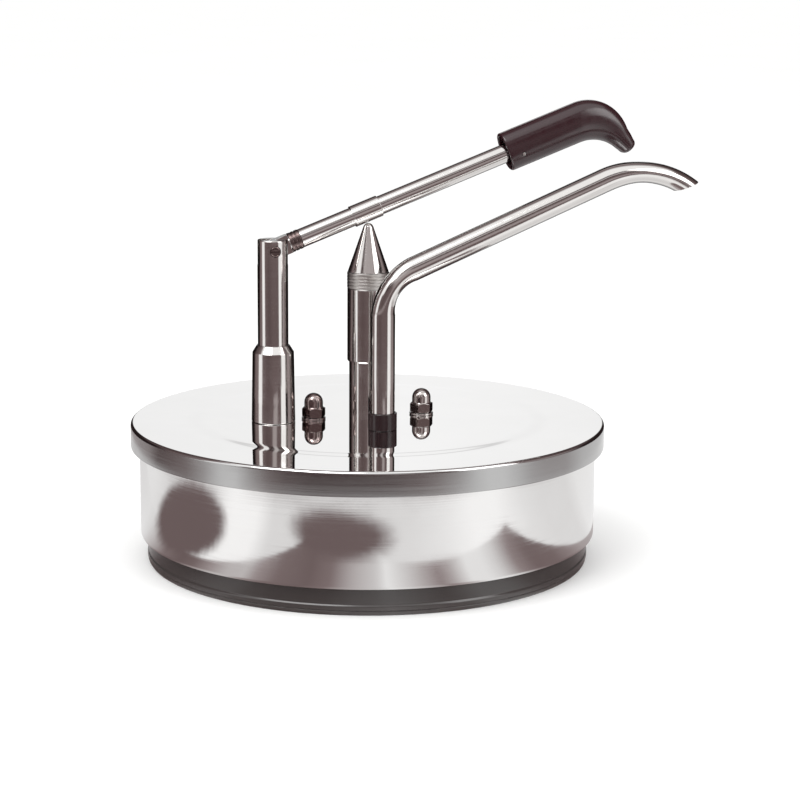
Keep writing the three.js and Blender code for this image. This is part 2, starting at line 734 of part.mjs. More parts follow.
function pivotPost() {
  const body = turnedShape([
    [0, POST_FLOOR_Z + GAP],
    [POST_RADIUS, POST_FLOOR_Z + GAP],
    [POST_RADIUS, POST_TOP_Z - BREAK],
    [POST_RADIUS - BREAK, POST_TOP_Z],
    [0, POST_TOP_Z],
  ], 24);
  const outside = 2 * POST_RADIUS;
  const slot = new THREE.BoxGeometry(2 * outside, SLOT_WIDTH, outside + SLOT_DEPTH)
    .translate(0, 0, PIVOT_Z + (outside - SLOT_DEPTH) / 2);
  const acrossPost = (radius, from) => bar(radius, from, outside, 16).rotateX(Math.PI / 2).translate(0, 0, PIVOT_Z);
  return cut(
    body,
    slot,
    acrossPost(SCREW_RADIUS + GAP, -outside),
    acrossPost(SCREW_HEAD_RADIUS + FIT, SCREW_HEAD_IN - GAP),
    bar(POST_BOLT_RADIUS + FIT, POST_FLOOR_Z - 1, POST_FLOOR_Z + POST_BOLT_REACH + 4, 16),
  );
}

// The screw lies along Y with its slotted head towards -Y.
function pivotScrew() {
  const screw = turnedShape([
    [0, -POST_RADIUS + FIT],
    [SCREW_RADIUS, -POST_RADIUS + FIT],
    [SCREW_RADIUS, SCREW_HEAD_IN],
    [SCREW_HEAD_RADIUS, SCREW_HEAD_IN],
    [SCREW_HEAD_RADIUS, SCREW_HEAD_OUT - BREAK],
    [SCREW_HEAD_RADIUS - BREAK, SCREW_HEAD_OUT],
    [0, SCREW_HEAD_OUT],
  ], 16);
  const slot = new THREE.BoxGeometry(4 * SCREW_HEAD_RADIUS, 1.2 * SCREW_SLOT, 2 * SCREW_SLOT)
    .translate(0, 0, SCREW_HEAD_OUT);
  return cut(screw, slot).rotateX(Math.PI / 2);
}

const post = new THREE.Group();
post.position.x = POST_X;
dispenser.add(post);

addTo(post, 'post_base', turnedShape([
  [POST_HOLE, POST_FOOT_Z],
  [BASE_FOOT_RADIUS, POST_FOOT_Z],
  [BASE_TOP_RADIUS, POST_BASE_TOP_Z - BASE_SLANT],
  [POST_RADIUS + FIT + GAP, POST_BASE_TOP_Z],
  [POST_RADIUS + FIT, POST_BASE_TOP_Z],
  [POST_RADIUS + FIT, POST_FLOOR_Z],
  [POST_HOLE, POST_FLOOR_Z],
], 24), turned);
addTo(post, 'pivot_post', pivotPost(), turned);
addTo(post, 'pivot_screw', pivotScrew(), fastener).position.z = PIVOT_Z;
addTo(post, 'post_gasket', pipe(POST_HOLE, POST_GASKET_RADIUS, POST_GASKET_Z, UNDER_DECK_Z - GAP), sealRubber);
addTo(post, 'post_washer', pipe(
  POST_HOLE,
  POST_WASHER_RADIUS,
  POST_WASHER_Z,
  POST_WASHER_Z + POST_WASHER_THICKNESS,
), fastener);
addTo(post, 'post_bolt', join(
  plate(hexagon(POST_BOLT_ACROSS_FLATS), POST_WASHER_Z - GAP - POST_BOLT_HEAD, POST_WASHER_Z - GAP),
  bar(POST_BOLT_RADIUS, POST_WASHER_Z - GAP - 1, POST_FLOOR_Z + POST_BOLT_REACH, 16),
), fastener);

// ---------------------------------------------------------------- plunger

// The tip's centre stands clear of the lever's wear sleeve, measured down from the lever's centre line.
const tipReach = (WEAR_SLEEVE_RADIUS + TIP_RADIUS) / Math.cos(REST_ANGLE);
const TIP_Z = PIVOT_Z - POST_X * Math.tan(REST_ANGLE) - tipReach - TIP_GAP;
const RING_Z = SLEEVE_TOP_Z + GAP;
const CONE_Z = RING_Z + RING_HEIGHT + GAP;
const PISTON_TOP_Z = FLANGE_Z - 4.4; // room for air above the piston at rest
const PISTON_HEIGHT = 6.1;
const CUP_HEIGHT = 2.6;
const PISTON_Z = PISTON_TOP_Z - PISTON_HEIGHT;
const CUP_Z = PISTON_Z - GAP - CUP_HEIGHT;
const PISTON_NUT_HEIGHT = 4.7;
const PISTON_NUT_ACROSS_FLATS = 10;
const CONE_SOCKET_DEPTH = 9;

function plungerCone() {
  const lean = Math.atan2(CONE_RADIUS - TIP_RADIUS, TIP_Z - CONE_Z);
  const cone = turnedShape([
    [0, CONE_Z],
    [CONE_RADIUS, CONE_Z],
    ...arc(0, TIP_Z, TIP_RADIUS, THREE.MathUtils.radToDeg(lean), 90, 4),
  ], 24);
  return cut(cone, bar(STUD_RADIUS + FIT, CONE_Z - 1, CONE_Z + CONE_SOCKET_DEPTH));
}

function plungerRing() {
  const bore = STUD_RADIUS + FIT;
  const top = RING_Z + RING_HEIGHT;
  const bevel = 0.4; // also the depth of a groove
  const half = 0.5; // half the width of a groove
  const profile = [
    [bore, RING_Z],
    [RING_RADIUS - bevel, RING_Z],
    [RING_RADIUS, RING_Z + bevel],
  ];
  for (let i = 1; i <= 3; i++) {
    const grooveZ = RING_Z + (i * RING_HEIGHT) / 4;
    profile.push([RING_RADIUS, grooveZ - half], [RING_RADIUS - bevel, grooveZ], [RING_RADIUS, grooveZ + half]);
  }
  profile.push([RING_RADIUS, top - bevel], [RING_RADIUS - bevel, top], [bore, top]);
  return turnedShape(profile);
}

add('plunger_cone', plungerCone(), turned);
add('plunger_ring', plungerRing(), satin);
add('plunger_sleeve', turnedShape([
  [SLEEVE_BORE, SLEEVE_BOTTOM_Z],
  [SLEEVE_RADIUS - BREAK, SLEEVE_BOTTOM_Z],
  [SLEEVE_RADIUS, SLEEVE_BOTTOM_Z + BREAK],
  [SLEEVE_RADIUS, SLEEVE_TOP_Z],
  [STUD_RADIUS + FIT, SLEEVE_TOP_Z],
  [STUD_RADIUS + FIT, SLEEVE_TOP_Z - SLEEVE_WEB],
  [SLEEVE_BORE, SLEEVE_TOP_Z - SLEEVE_WEB],
]), turned);
const PISTON_NUT_TOP_Z = CUP_Z - GAP;
const ROD_END_Z = PISTON_NUT_TOP_Z - PISTON_NUT_HEIGHT - 0.5;

add('plunger_rod', turnedShape([
  [0, ROD_END_Z],
  [STUD_RADIUS, ROD_END_Z],
  [STUD_RADIUS, PISTON_TOP_Z + GAP],
  [ROD_RADIUS, PISTON_TOP_Z + GAP],
  [ROD_RADIUS, SLEEVE_TOP_Z - SLEEVE_WEB - GAP],
  [STUD_RADIUS, SLEEVE_TOP_Z - SLEEVE_WEB - GAP],
  [STUD_RADIUS, CONE_Z + CONE_SOCKET_DEPTH - 1],
  [0, CONE_Z + CONE_SOCKET_DEPTH - 1],
]), turned);
add('piston', pipe(STUD_RADIUS + FIT, BARREL_BORE - 0.5, PISTON_Z, PISTON_TOP_Z), whitePlastic);
add('piston_cup', pipe(STUD_RADIUS + FIT, BARREL_BORE - 0.15, CUP_Z, CUP_Z + CUP_HEIGHT), sealRubber);

function pistonNut() {
  const outline = hexagon(PISTON_NUT_ACROSS_FLATS);
  addHole(outline, 0, 0, STUD_RADIUS + FIT);
  return plate(outline, PISTON_NUT_TOP_Z - PISTON_NUT_HEIGHT, PISTON_NUT_TOP_Z);
}

add('piston_nut', pistonNut(), fastener);

// ---------------------------------------------------------------- lever

// Inside this group the lever lies along +X from its pivot, with its upper side towards +Z.
const lever = new THREE.Group();
lever.position.set(POST_X, 0, PIVOT_Z);
lever.rotation.y = -REST_ANGLE;
dispenser.add(lever);

const TONGUE_THICKNESS = 6.4;
const TONGUE_END_X = 11.2;
const LOCKNUT_X = TONGUE_END_X + FIT;
const LOCKNUT_END_X = LOCKNUT_X + 7;
const LEVER_TUBE_X = LOCKNUT_END_X + FIT;
const LEVER_TUBE_BORE = 5;
const SHANK_RADIUS = 4.5; // of the end piece, where it goes into the tube
const SHANK_X = TONGUE_END_X - 0.4; // inside the tongue's end, and clear of the post
const SHANK_END_X = 34;
const GRIP_X = 160.3;
const GRIP_SOCKET_END_X = 207;
const WEAR_SLEEVE_X = 54.3;
const WEAR_SLEEVE_LENGTH = 18.4;
const BUSH_RADIUS = 4;

// Turned about the lever's own axis.
function alongLever(profile, segments = ROUND) {
  return turnedShape(profile, segments).rotateY(Math.PI / 2);
}

function leverEnd() {
  const outline = new THREE.Shape();
  outline.absarc(0, 0, LEVER_RADIUS, Math.PI / 2, 1.5 * Math.PI);
  outline.lineTo(TONGUE_END_X, -LEVER_RADIUS);
  outline.lineTo(TONGUE_END_X, LEVER_RADIUS);
  addHole(outline, 0, 0, BUSH_RADIUS + SLIDING_FIT);
  const half = TONGUE_THICKNESS / 2;
  const tongue = plate(outline, -half, half, 8).rotateX(Math.PI / 2);
  const shank = alongLever([
    [0, SHANK_X],
    [SHANK_RADIUS, SHANK_X],
    [SHANK_RADIUS, SHANK_END_X],
    [0, SHANK_END_X],
  ], 20);
  return join(tongue, shank);
}

function locknutProfile() {
  const bore = SHANK_RADIUS + FIT;
  const outer = LEVER_RADIUS + 0.25;
  const floor = outer - 0.7; // of its two grooves
  const profile = [[bore, LOCKNUT_X], [outer, LOCKNUT_X]];
  for (const share of [0.32, 0.66]) {
    const x = THREE.MathUtils.lerp(LOCKNUT_X, LOCKNUT_END_X, share);
    profile.push([outer, x - 0.6], [floor, x - 0.3], [floor, x + 0.3], [outer, x + 0.6]);
  }
  profile.push([outer, LOCKNUT_END_X], [bore, LOCKNUT_END_X]);
  return profile;
}

addTo(lever, 'lever_end', leverEnd(), turned);
const bushReach = TONGUE_THICKNESS / 2 - 0.1;
addTo(lever, 'pivot_bush', pipe(
  SCREW_RADIUS + SLIDING_FIT,
  BUSH_RADIUS,
  -bushReach,
  bushReach,
  16,
).rotateX(Math.PI / 2), whitePlastic);
addTo(lever, 'lever_locknut', alongLever(locknutProfile()), satin);
addTo(lever, 'lever_tube', alongLever([
  [LEVER_TUBE_BORE, LEVER_TUBE_X],
  [LEVER_RADIUS, LEVER_TUBE_X],
  [LEVER_RADIUS, GRIP_SOCKET_END_X - 1],
  [LEVER_TUBE_BORE, GRIP_SOCKET_END_X - 1],
]), turned);
const wearSleeveEnd = WEAR_SLEEVE_X + WEAR_SLEEVE_LENGTH;
addTo(lever, 'wear_sleeve', alongLever([
  [LEVER_RADIUS + GAP, WEAR_SLEEVE_X],
  [WEAR_SLEEVE_RADIUS - 0.2, WEAR_SLEEVE_X],
  [WEAR_SLEEVE_RADIUS, WEAR_SLEEVE_X + 0.3],
  [WEAR_SLEEVE_RADIUS, wearSleeveEnd - 0.3],
  [WEAR_SLEEVE_RADIUS - 0.2, wearSleeveEnd],
  [LEVER_RADIUS + GAP, wearSleeveEnd],
]), satin);

// ---------------------------------------------------------------- grip

const GRIP_TOP = 13.1; // its upper edge above the lever's axis
const GRIP_BOTTOM = -11.9;
const GRIP_HALF_WIDTH = 10.2;
const GRIP_TIP_HALF_WIDTH = 8;
const GRIP_OUTER_BEND = 27.4;
const GRIP_INNER_BEND = 25.6;
const GRIP_LIP = 2.5; // wall round the hollow mouth that the lever goes in at
const GRIP_MOUTH_DEPTH = 3.5;
const GRIP_BEVEL = 1.2;

// Where the grip's upper and lower edges are at each section, as pairs of [along, up].
function gripEdges() {
  const upperCentre = [213.2, GRIP_TOP - GRIP_OUTER_BEND];
  const lowerCentre = [208, GRIP_BOTTOM - GRIP_INNER_BEND];
  const edges = [
    { top: [GRIP_X, GRIP_TOP - GRIP_BEVEL], bottom: [GRIP_X, GRIP_BOTTOM + GRIP_BEVEL] },
    { top: [GRIP_X + GRIP_BEVEL, GRIP_TOP], bottom: [GRIP_X + GRIP_BEVEL, GRIP_BOTTOM] },
  ];
  const steps = 8;
  const upper = arc(...upperCentre, GRIP_OUTER_BEND, 90, 0, steps);
  const lower = arc(...lowerCentre, GRIP_INNER_BEND, 90, 30, steps);
  for (let i = 0; i <= steps; i++) edges.push({ top: upper[i], bottom: lower[i] });
  edges.push({ top: [242.1, -24], bottom: [231.9, -27.4] });
  edges.push({ top: [242.5, -28.2], bottom: [233.6, -29.8] });
  edges.push({ top: [241.2, -30.2], bottom: [235.2, -30.9] });
  return edges;
}

function gripRing({ top, bottom }, halfWidth) {
  const sides = 20;
  const squareness = 2 / 2.3; // a little fuller than an ellipse
  const bulge = (value) => Math.sign(value) * Math.abs(value) ** squareness;
  const ring = [];
  for (let i = 0; i < sides; i++) {
    const around = (2 * Math.PI * i) / sides;
    const down = (1 + bulge(Math.cos(around))) / 2;
    ring.push(new THREE.Vector3(
      THREE.MathUtils.lerp(top[0], bottom[0], down),
      halfWidth * bulge(Math.sin(around)),
      THREE.MathUtils.lerp(top[1], bottom[1], down),
    ));
  }
  return ring;
}

const PIN_ALONG = 169.3;
const PIN_UP = -3.4;
const GRIP_PIN_RADIUS = 1.2;
const GRIP_PIN_IN = 5.5; // from the middle of the grip to the pin's two ends
const GRIP_PIN_OUT = 9.6;

function grip() {
  const edges = gripEdges();
  const last = edges.length - 1;
  const rings = edges.map((edge, i) => {
    const narrowing = THREE.MathUtils.lerp(GRIP_HALF_WIDTH, GRIP_TIP_HALF_WIDTH, Math.max(0, i - 2) / (last - 2));
    const rounded = i === 0 || i === last ? 1 - GRIP_BEVEL / GRIP_HALF_WIDTH : 1;
    return gripRing(edge, narrowing * rounded);
  });
  const socket = bar(LEVER_RADIUS + FIT, GRIP_X - 2, GRIP_SOCKET_END_X, 20).rotateY(Math.PI / 2);
  const mouth = bar(1, -2, GRIP_MOUTH_DEPTH, 20).rotateY(Math.PI / 2)
    .scale(1, GRIP_HALF_WIDTH - GRIP_LIP, (GRIP_TOP - GRIP_BOTTOM) / 2 - GRIP_LIP)
    .translate(GRIP_X, 0, (GRIP_TOP + GRIP_BOTTOM) / 2);
  const pinHole = bar(GRIP_PIN_RADIUS + FIT, 0, 2 * GRIP_HALF_WIDTH, 10).rotateX(Math.PI / 2)
    .translate(PIN_ALONG, 0, PIN_UP);
  return cut(loft(rings, false), socket, mouth, pinHole);
}

addTo(lever, 'grip', grip(), gripPlastic);
addTo(lever, 'grip_pin', bar(GRIP_PIN_RADIUS, GRIP_PIN_IN, GRIP_PIN_OUT, 10).rotateX(Math.PI / 2), fastener)
  .position.set(PIN_ALONG, 0, PIN_UP);

export default dispenser;
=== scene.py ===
import json
from math import asin, atan2, copysign, cos, pi, radians, sin, sqrt, tan

import bpy
from mathutils import Matrix, Vector


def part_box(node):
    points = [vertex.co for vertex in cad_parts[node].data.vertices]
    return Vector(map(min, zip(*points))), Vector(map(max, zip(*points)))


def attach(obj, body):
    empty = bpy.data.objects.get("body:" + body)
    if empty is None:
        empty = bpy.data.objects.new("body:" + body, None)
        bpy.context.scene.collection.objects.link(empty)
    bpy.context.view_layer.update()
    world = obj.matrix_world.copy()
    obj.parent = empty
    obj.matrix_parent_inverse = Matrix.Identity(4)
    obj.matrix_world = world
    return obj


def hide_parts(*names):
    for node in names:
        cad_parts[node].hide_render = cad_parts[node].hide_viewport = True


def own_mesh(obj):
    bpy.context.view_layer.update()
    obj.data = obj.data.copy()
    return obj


# A condiment pump dispenser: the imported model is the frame, and fine-surfaced pieces stand for its
# visible nodes. Metres, +Z up, +X from the lever's post towards the grip and the spout's mouth.

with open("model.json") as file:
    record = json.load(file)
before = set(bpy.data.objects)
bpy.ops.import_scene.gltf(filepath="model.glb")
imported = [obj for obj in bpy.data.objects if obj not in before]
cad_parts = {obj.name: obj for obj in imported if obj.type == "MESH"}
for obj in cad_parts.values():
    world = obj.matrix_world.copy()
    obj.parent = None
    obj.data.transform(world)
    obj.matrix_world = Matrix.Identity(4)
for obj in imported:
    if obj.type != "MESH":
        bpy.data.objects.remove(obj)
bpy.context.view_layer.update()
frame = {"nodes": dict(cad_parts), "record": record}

record = frame["record"]
MM = 0.001
FINE = 192  # sides of the pot and the lid
ROUND = 96  # sides of the other turned pieces
SMALL = 48  # sides of small turned pieces and of cutting tools
HEX_SIDES = 72  # sides of nuts and bolt heads, which are hexagons with chamfered corners
SHEET = 1.2 * MM  # thickness of the pot's and the lid's steel
STUD_HOLE = 3.3 * MM  # radius of the hole through the cap's pieces, round the rod's stud
GRIP_STRAIGHT = 10  # sections in the straight part of the grip


# ---- the frame's names and places

def body_of_node():
    bodies = record["behaviour"]["bodies"]
    return {node: body for body, nodes in bodies.items() for node in nodes}


def slot_of_node():
    return {part["node"]: part["material_slot"] for part in record["subparts"]}


BODY = body_of_node()
SLOT = slot_of_node()


def low(node):
    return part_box(node)[0]


def high(node):
    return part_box(node)[1]


def bottom(node):
    return low(node)[2]


def top(node):
    return high(node)[2]


def ends(node):
    return bottom(node), top(node)


def radius(node):
    """Outer radius of an upright round node."""
    size = [b - a for a, b in zip(low(node), high(node))]
    return max(size[0], size[1]) / 2


def axis_of(node):
    """The upright axis through a node's middle, as a placing matrix."""
    middle = [(a + b) / 2 for a, b in zip(low(node), high(node))]
    return Matrix.Translation((middle[0], middle[1], 0))


def joint_named(name):
    return next(j for j in record["behaviour"]["joints"] if j["name"] == name)


def span_along(node, place):
    """Lowest and highest corner of a CAD node in the frame of a placing matrix."""
    inverse = place.inverted()
    points = [inverse @ v.co for v in frame["nodes"][node].data.vertices]
    corners = [[pick(p[i] for p in points) for i in range(3)] for pick in (min, max)]
    return Vector(corners[0]), Vector(corners[1])


PIVOT = Vector(joint_named("lever_pivot")["pos_m"])
REST_ANGLE = radians(21)
LEVER = Matrix.Translation(PIVOT) @ Matrix.Rotation(-REST_ANGLE, 4, "Y")
ALONG_X = Matrix.Rotation(pi / 2, 4, "Y")  # turns +Z to +X
ALONG_Y = Matrix.Rotation(pi / 2, 4, "X")  # turns +Z to -Y


# ---- shader graphs

class Graph:
    """Adds shader nodes to a tree and joins them."""

    def __init__(self, tree):
        self.tree = tree
        tree.nodes.clear()

    def add(self, kind, **settings):
        node = self.tree.nodes.new(kind)
        for name, value in settings.items():
            setattr(node, name, value)
        return node

    def feed(self, socket, value):
        if isinstance(value, bpy.types.NodeSocket):
            self.tree.links.new(value, socket)
        else:
            socket.default_value = value

    def math(self, operation, first, second=0.0):
        node = self.add("ShaderNodeMath", operation=operation)
        self.feed(node.inputs[0], first)
        self.feed(node.inputs[1], second)
        return node.outputs[0]

    def product(self, first, *others):
        for other in others:
            first = self.math("MULTIPLY", first, other)
        return first

    def distance(self, x, y):
        """How far (x, y) is from the middle."""
        return self.math("SQRT", self.math("ADD", self.product(x, x), self.product(y, y)))

    def mix(self, factor, first, second):
        node = self.add("ShaderNodeMix", data_type="RGBA")
        self.feed(node.inputs[0], factor)
        self.feed(node.inputs[6], first)
        self.feed(node.inputs[7], second)
        return node.outputs[2]

    def between(self, value, start, end, start_result=0.0, end_result=1.0):
        """Eases from start_result to end_result as value goes from start to end."""
        node = self.add("ShaderNodeMapRange", interpolation_type="SMOOTHSTEP")
        settings = (value, start, end, start_result, end_result)
        for socket, setting in zip(node.inputs[:5], settings):
            self.feed(socket, setting)
        return node.outputs[0]

    def object_place(self):
        return self.add("ShaderNodeTexCoord").outputs["Object"]

    def scaled(self, vector, scale, turn=0.0):
        node = self.add("ShaderNodeMapping")
        self.feed(node.inputs["Vector"], vector)
        self.feed(node.inputs["Scale"], scale)
        self.feed(node.inputs["Rotation"], (0, 0, turn))
        return node.outputs[0]

    def noise(self, vector, scale, detail=3.0, roughness=0.55):
        node = self.add("ShaderNodeTexNoise")
        self.feed(node.inputs["Vector"], vector)
        self.feed(node.inputs["Scale"], scale)
        self.feed(node.inputs["Detail"], detail)
        self.feed(node.inputs["Roughness"], roughness)
        return node.outputs["Fac"]

    def ramp(self, factor, stops):
        """A warm grey whose brightness runs through (place, brightness) stops."""
        node = self.add("ShaderNodeValToRGB")
        self.feed(node.inputs[0], factor)
        ramp = node.color_ramp
        while len(ramp.elements) < len(stops):
            ramp.elements.new(1.0)
        for element, (place, brightness) in zip(ramp.elements, stops):
            element.position = place
            element.color = flat_grey(brightness)
        return node.outputs[0]

    def bump(self, height, distance, normal=None):
        node = self.add("ShaderNodeBump")
        self.feed(node.inputs["Height"], height)
        self.feed(node.inputs["Distance"], distance)
        self.feed(node.inputs["Strength"], 1.0)
        if normal is not None:
            self.feed(node.inputs["Normal"], normal)
        return node.outputs[0]


def warm_grey(brightness):
    """A grey that is warmer the darker it is, as the studio's unlit parts are."""
    dark = max(0.0, 1 - brightness) ** 3
    return tuple(brightness * (1 + tint * dark) for tint in (0.3, -0.17, -0.17))


def flat_grey(brightness):
    return (*warm_grey(brightness), 1.0)


def new_material(name):
    material = bpy.data.materials.new(name)
    material.use_nodes = True
    graph = Graph(material.node_tree)
    shader = graph.add("ShaderNodeBsdfPrincipled")
    output = graph.add("ShaderNodeOutputMaterial")
    graph.feed(output.inputs["Surface"], shader.outputs[0])
    return material, graph, shader.inputs


def wire(graph, inputs, colour, roughness, normal):
    graph.feed(inputs["Base Color"], colour)
    graph.feed(inputs["Roughness"], roughness)
    graph.feed(inputs["Normal"], normal)


def shade(colour, factor):
    return (*(min(1.0, c * factor) for c in colour), 1.0)


def split(graph, vector):
    """The X, Y and Z of a vector, as three sockets."""
    apart = graph.add("ShaderNodeSeparateXYZ")
    graph.feed(apart.inputs[0], vector)
    return apart.outputs


# ---- materials

def steel(name, colour, gloss, groove):
    """Stainless steel turned or polished about its own Z. gloss is its lowest and highest roughness
    and groove the depth of its turning marks. Its colour has painted shade where it turns away from
    the eye."""
    material, graph, inputs = new_material(name)
    place = graph.object_place()
    inputs["Metallic"].default_value = 1.0
    mottle = graph.noise(place, scale=45.0, detail=4.0)
    face = graph.mix(mottle, shade(colour, 0.93), shade(colour, 1.05))
    # Painted shade: the colour darkens to a dark copy towards the outline, where the steel turns
    # away from the eye.
    facing = graph.add("ShaderNodeLayerWeight").outputs["Facing"]
    painted_edge_shade = graph.between(facing, 0.48, 0.74)
    seen = graph.mix(painted_edge_shade, face, shade(colour, 0.12))
    marks = graph.noise(graph.scaled(place, (18.0, 18.0, 1900.0)), scale=1.0, detail=2.0)
    smudges = graph.noise(place, scale=28.0, detail=5.0, roughness=0.65)
    wear = graph.product(marks, smudges)
    roughness = graph.between(wear, 0.12, 0.42, *gloss)
    wire(graph, inputs, seen, roughness, graph.bump(marks, groove))
    return material


def lid_steel(name, colour, rim_z):
    """A mirror-polished top over a skirt that is brushed round its edge. The skirt's colour is a
    darker copy of the top's: painted shade.
    """
    material, graph, inputs = new_material(name)
    place = graph.object_place()
    skirt = graph.between(split(graph, place)[2], rim_z - 0.4 * MM, rim_z - 2.2 * MM)
    inputs["Metallic"].default_value = 1.0
    mottle = graph.noise(place, scale=30.0, detail=4.0)
    top_colour = graph.mix(mottle, shade(colour, 0.98), shade(colour, 1.04))
    # Painted shade: the skirt takes a darker copy of the same steel as the top.
    shaded_skirt_colour = graph.mix(mottle, shade(colour, 0.52), shade(colour, 0.58))
    seen = graph.mix(skirt, top_colour, shaded_skirt_colour)
    streaks = graph.noise(graph.scaled(place, (9.0, 9.0, 1500.0)), scale=1.0, detail=3.0)
    smudges = graph.noise(place, scale=20.0, detail=5.0, roughness=0.7)
    top_gloss = graph.between(smudges, 0.35, 0.75, 0.015, 0.04)
    skirt_gloss = graph.between(streaks, 0.3, 0.7, 0.1, 0.16)
    roughness = graph.add("ShaderNodeMix", data_type="FLOAT")
    graph.feed(roughness.inputs[0], skirt)
    graph.feed(roughness.inputs[2], top_gloss)
    graph.feed(roughness.inputs[3], skirt_gloss)
    brushed = graph.bump(graph.product(streaks, skirt), 0.006 * MM)
    wire(graph, inputs, seen, roughness.outputs[0], brushed)
    return material


def pot_steel(name, colour):
    """A mirror-polished spun wall: faint hairlines round it and slow waves in its reflections."""
    material, graph, inputs = new_material(name)
    place = graph.object_place()
    inputs["Metallic"].default_value = 1.0
    mottle = graph.noise(place, scale=22.0, detail=4.0)
    seen = graph.mix(mottle, shade(colour, 0.95), shade(colour, 1.04))
    hairlines = graph.noise(graph.scaled(place, (7.0, 7.0, 1300.0)), scale=1.0, detail=3.0)
    clouds = graph.noise(place, scale=16.0, detail=5.0, roughness=0.65)
    wear = graph.product(hairlines, clouds)
    roughness = graph.between(wear, 0.14, 0.42, 0.05, 0.13)
    swell = graph.noise(graph.scaled(place, (1.0, 1.0, 0.6)), scale=14.0, detail=2.0)
    waves = graph.bump(swell, 0.06 * MM)
    wire(graph, inputs, seen, roughness, graph.bump(hairlines, 0.004 * MM, normal=waves))
    return material


def moulded(name, colour, gloss, grain, grain_scale=2600.0, spread=(0.82, 1.2), index=1.5):
    """Plastic or rubber: cloudy colour, uneven gloss and a fine moulded grain. index is how
    strongly its surface mirrors, as a refractive index."""
    material, graph, inputs = new_material(name)
    inputs["IOR"].default_value = index
    place = graph.object_place()
    clouds = graph.noise(place, scale=70.0, detail=5.0, roughness=0.6)
    darkest, lightest = (shade(colour, factor) for factor in spread)
    rub = graph.noise(place, scale=130.0, detail=4.0, roughness=0.6)
    roughness = graph.between(rub, 0.3, 0.7, *gloss)
    pits = graph.noise(place, scale=grain_scale, detail=2.0)
    seen = graph.mix(clouds, darkest, lightest)
    wire(graph, inputs, seen, roughness, graph.bump(pits, grain))
    return material


def foot_rubber(name, colour):
    """Dark rubber with a rubbed sheen, and lighter specks towards the counter that are a painted
    reflection of it.
    """
    material, graph, inputs = new_material(name)
    inputs["IOR"].default_value = 1.7
    place = graph.object_place()
    specks = graph.noise(place, scale=90.0, detail=5.0, roughness=0.7)
    # Painted reflection: specks lighten the rubber towards the counter, for the counter mirrored in
    # it.
    lowness = graph.between(split(graph, place)[2], 9.0 * MM, 0.0)
    painted_counter_reflection = graph.product(specks, lowness)
    seen = graph.mix(painted_counter_reflection, shade(colour, 1.0), shade(colour, 1.9))
    rub = graph.noise(graph.scaled(place, (30.0, 30.0, 400.0)), scale=1.0, detail=3.0)
    roughness = graph.between(rub, 0.3, 0.7, 0.14, 0.22)
    wire(graph, inputs, seen, roughness, graph.bump(rub, 0.003 * MM))
    return material


WARM = (0.84, 0.815, 0.795)
polished = steel("polished_steel", WARM, (0.03, 0.09), 0.002 * MM)
pot_finish = pot_steel("pot_steel", (0.9, 0.888, 0.88))
lid_finish = lid_steel("lid_steel", (0.93, 0.925, 0.92), top("lid") - 0.8 * MM)
bright = steel("turned_steel", WARM, (0.06, 0.16), 0.004 * MM)
satin = steel("satin_steel", (0.74, 0.715, 0.69), (0.3, 0.46), 0.03 * MM)
fastener = steel("fastener_steel", (0.78, 0.76, 0.74), (0.12, 0.25), 0.004 * MM)
# The nuts are one steel in a dark and a light copy: painted shade on the left nut and washer,
# painted light on the right ones.
shaded_nut = steel("nut_steel_painted_shade", (0.44, 0.36, 0.35), (0.03, 0.08), 0.002 * MM)
lit_nut = steel("nut_steel_painted_light", (0.72, 0.67, 0.65), (0.04, 0.1), 0.002 * MM)
dull = steel("dull_steel", (0.2, 0.15, 0.145), (0.24, 0.36), 0.004 * MM)
spring_finish = steel("spring_steel", (0.6, 0.58, 0.56), (0.25, 0.4), 0.01 * MM)
foot = foot_rubber("dark_rubber", (0.04, 0.034, 0.033))
seal = moulded("seal_rubber", (0.02, 0.019, 0.019), (0.5, 0.75), 0.03 * MM)
white = moulded(
    "white_plastic", (0.78, 0.765, 0.72), (0.38, 0.55), 0.012 * MM, spread=(0.95, 1.04))
black = moulded(
    "black_plastic", (0.02, 0.0105, 0.0115), (0.16, 0.24), 0.004 * MM, spread=(0.94, 1.06))
grip_finish = moulded(
    "grip_plastic", (0.022, 0.005, 0.0075), (0.16, 0.24), 0.005 * MM, 1500.0, (0.9, 1.1), 1.75)

# Each side's nut and washer take that side's copy, with its painted shade or painted light.
NUT_FINISH = {"left": shaded_nut, "right": lit_nut}

BY_SLOT = {
    "polished_steel": polished,
    "turned_steel": bright,
    "satin_steel": satin,
    "fastener_steel": fastener,
    "spring_steel": spring_finish,
    "dark_rubber": foot,
    "seal_rubber": seal,
    "white_plastic": white,
    "black_plastic": black,
    "grip_plastic": grip_finish,
}


# ---- outlines

def round_angles(sides):
    return [2 * pi * i / sides for i in range(sides)]


def circle_ring(r, z, sides):
    return [(r * cos(angle), r * sin(angle), z) for angle in round_angles(sides)]


def softened(corners, closed):
    """The outline through (x, y, fillet) corners, with each corner rounded by its fillet radius."""
    steps = 6
    points = []
    count = len(corners)
    for i, (x, y, fillet) in enumerate(corners):
        here = Vector((x, y))
        if fillet <= 0 or (not closed and i in (0, count - 1)):
            points.append(here)
            continue
        before = Vector(corners[i - 1][:2]) - here
        after = Vector(corners[(i + 1) % count][:2]) - here
        half = before.angle(after) / 2
        reach = min(fillet / tan(half), 0.49 * before.length, 0.49 * after.length)
        arm = reach * tan(half)
        middle = (before.normalized() + after.normalized()).normalized()
        middle *= arm / sin(half)
        start = before.normalized() * reach - middle
        end = after.normalized() * reach - middle
        turn = atan2(start.x * end.y - start.y * end.x, start.dot(end))
        for step in range(steps + 1):
            swept = Matrix.Rotation(turn * step / steps, 2) @ start
            points.append(here + middle + swept)
    return points


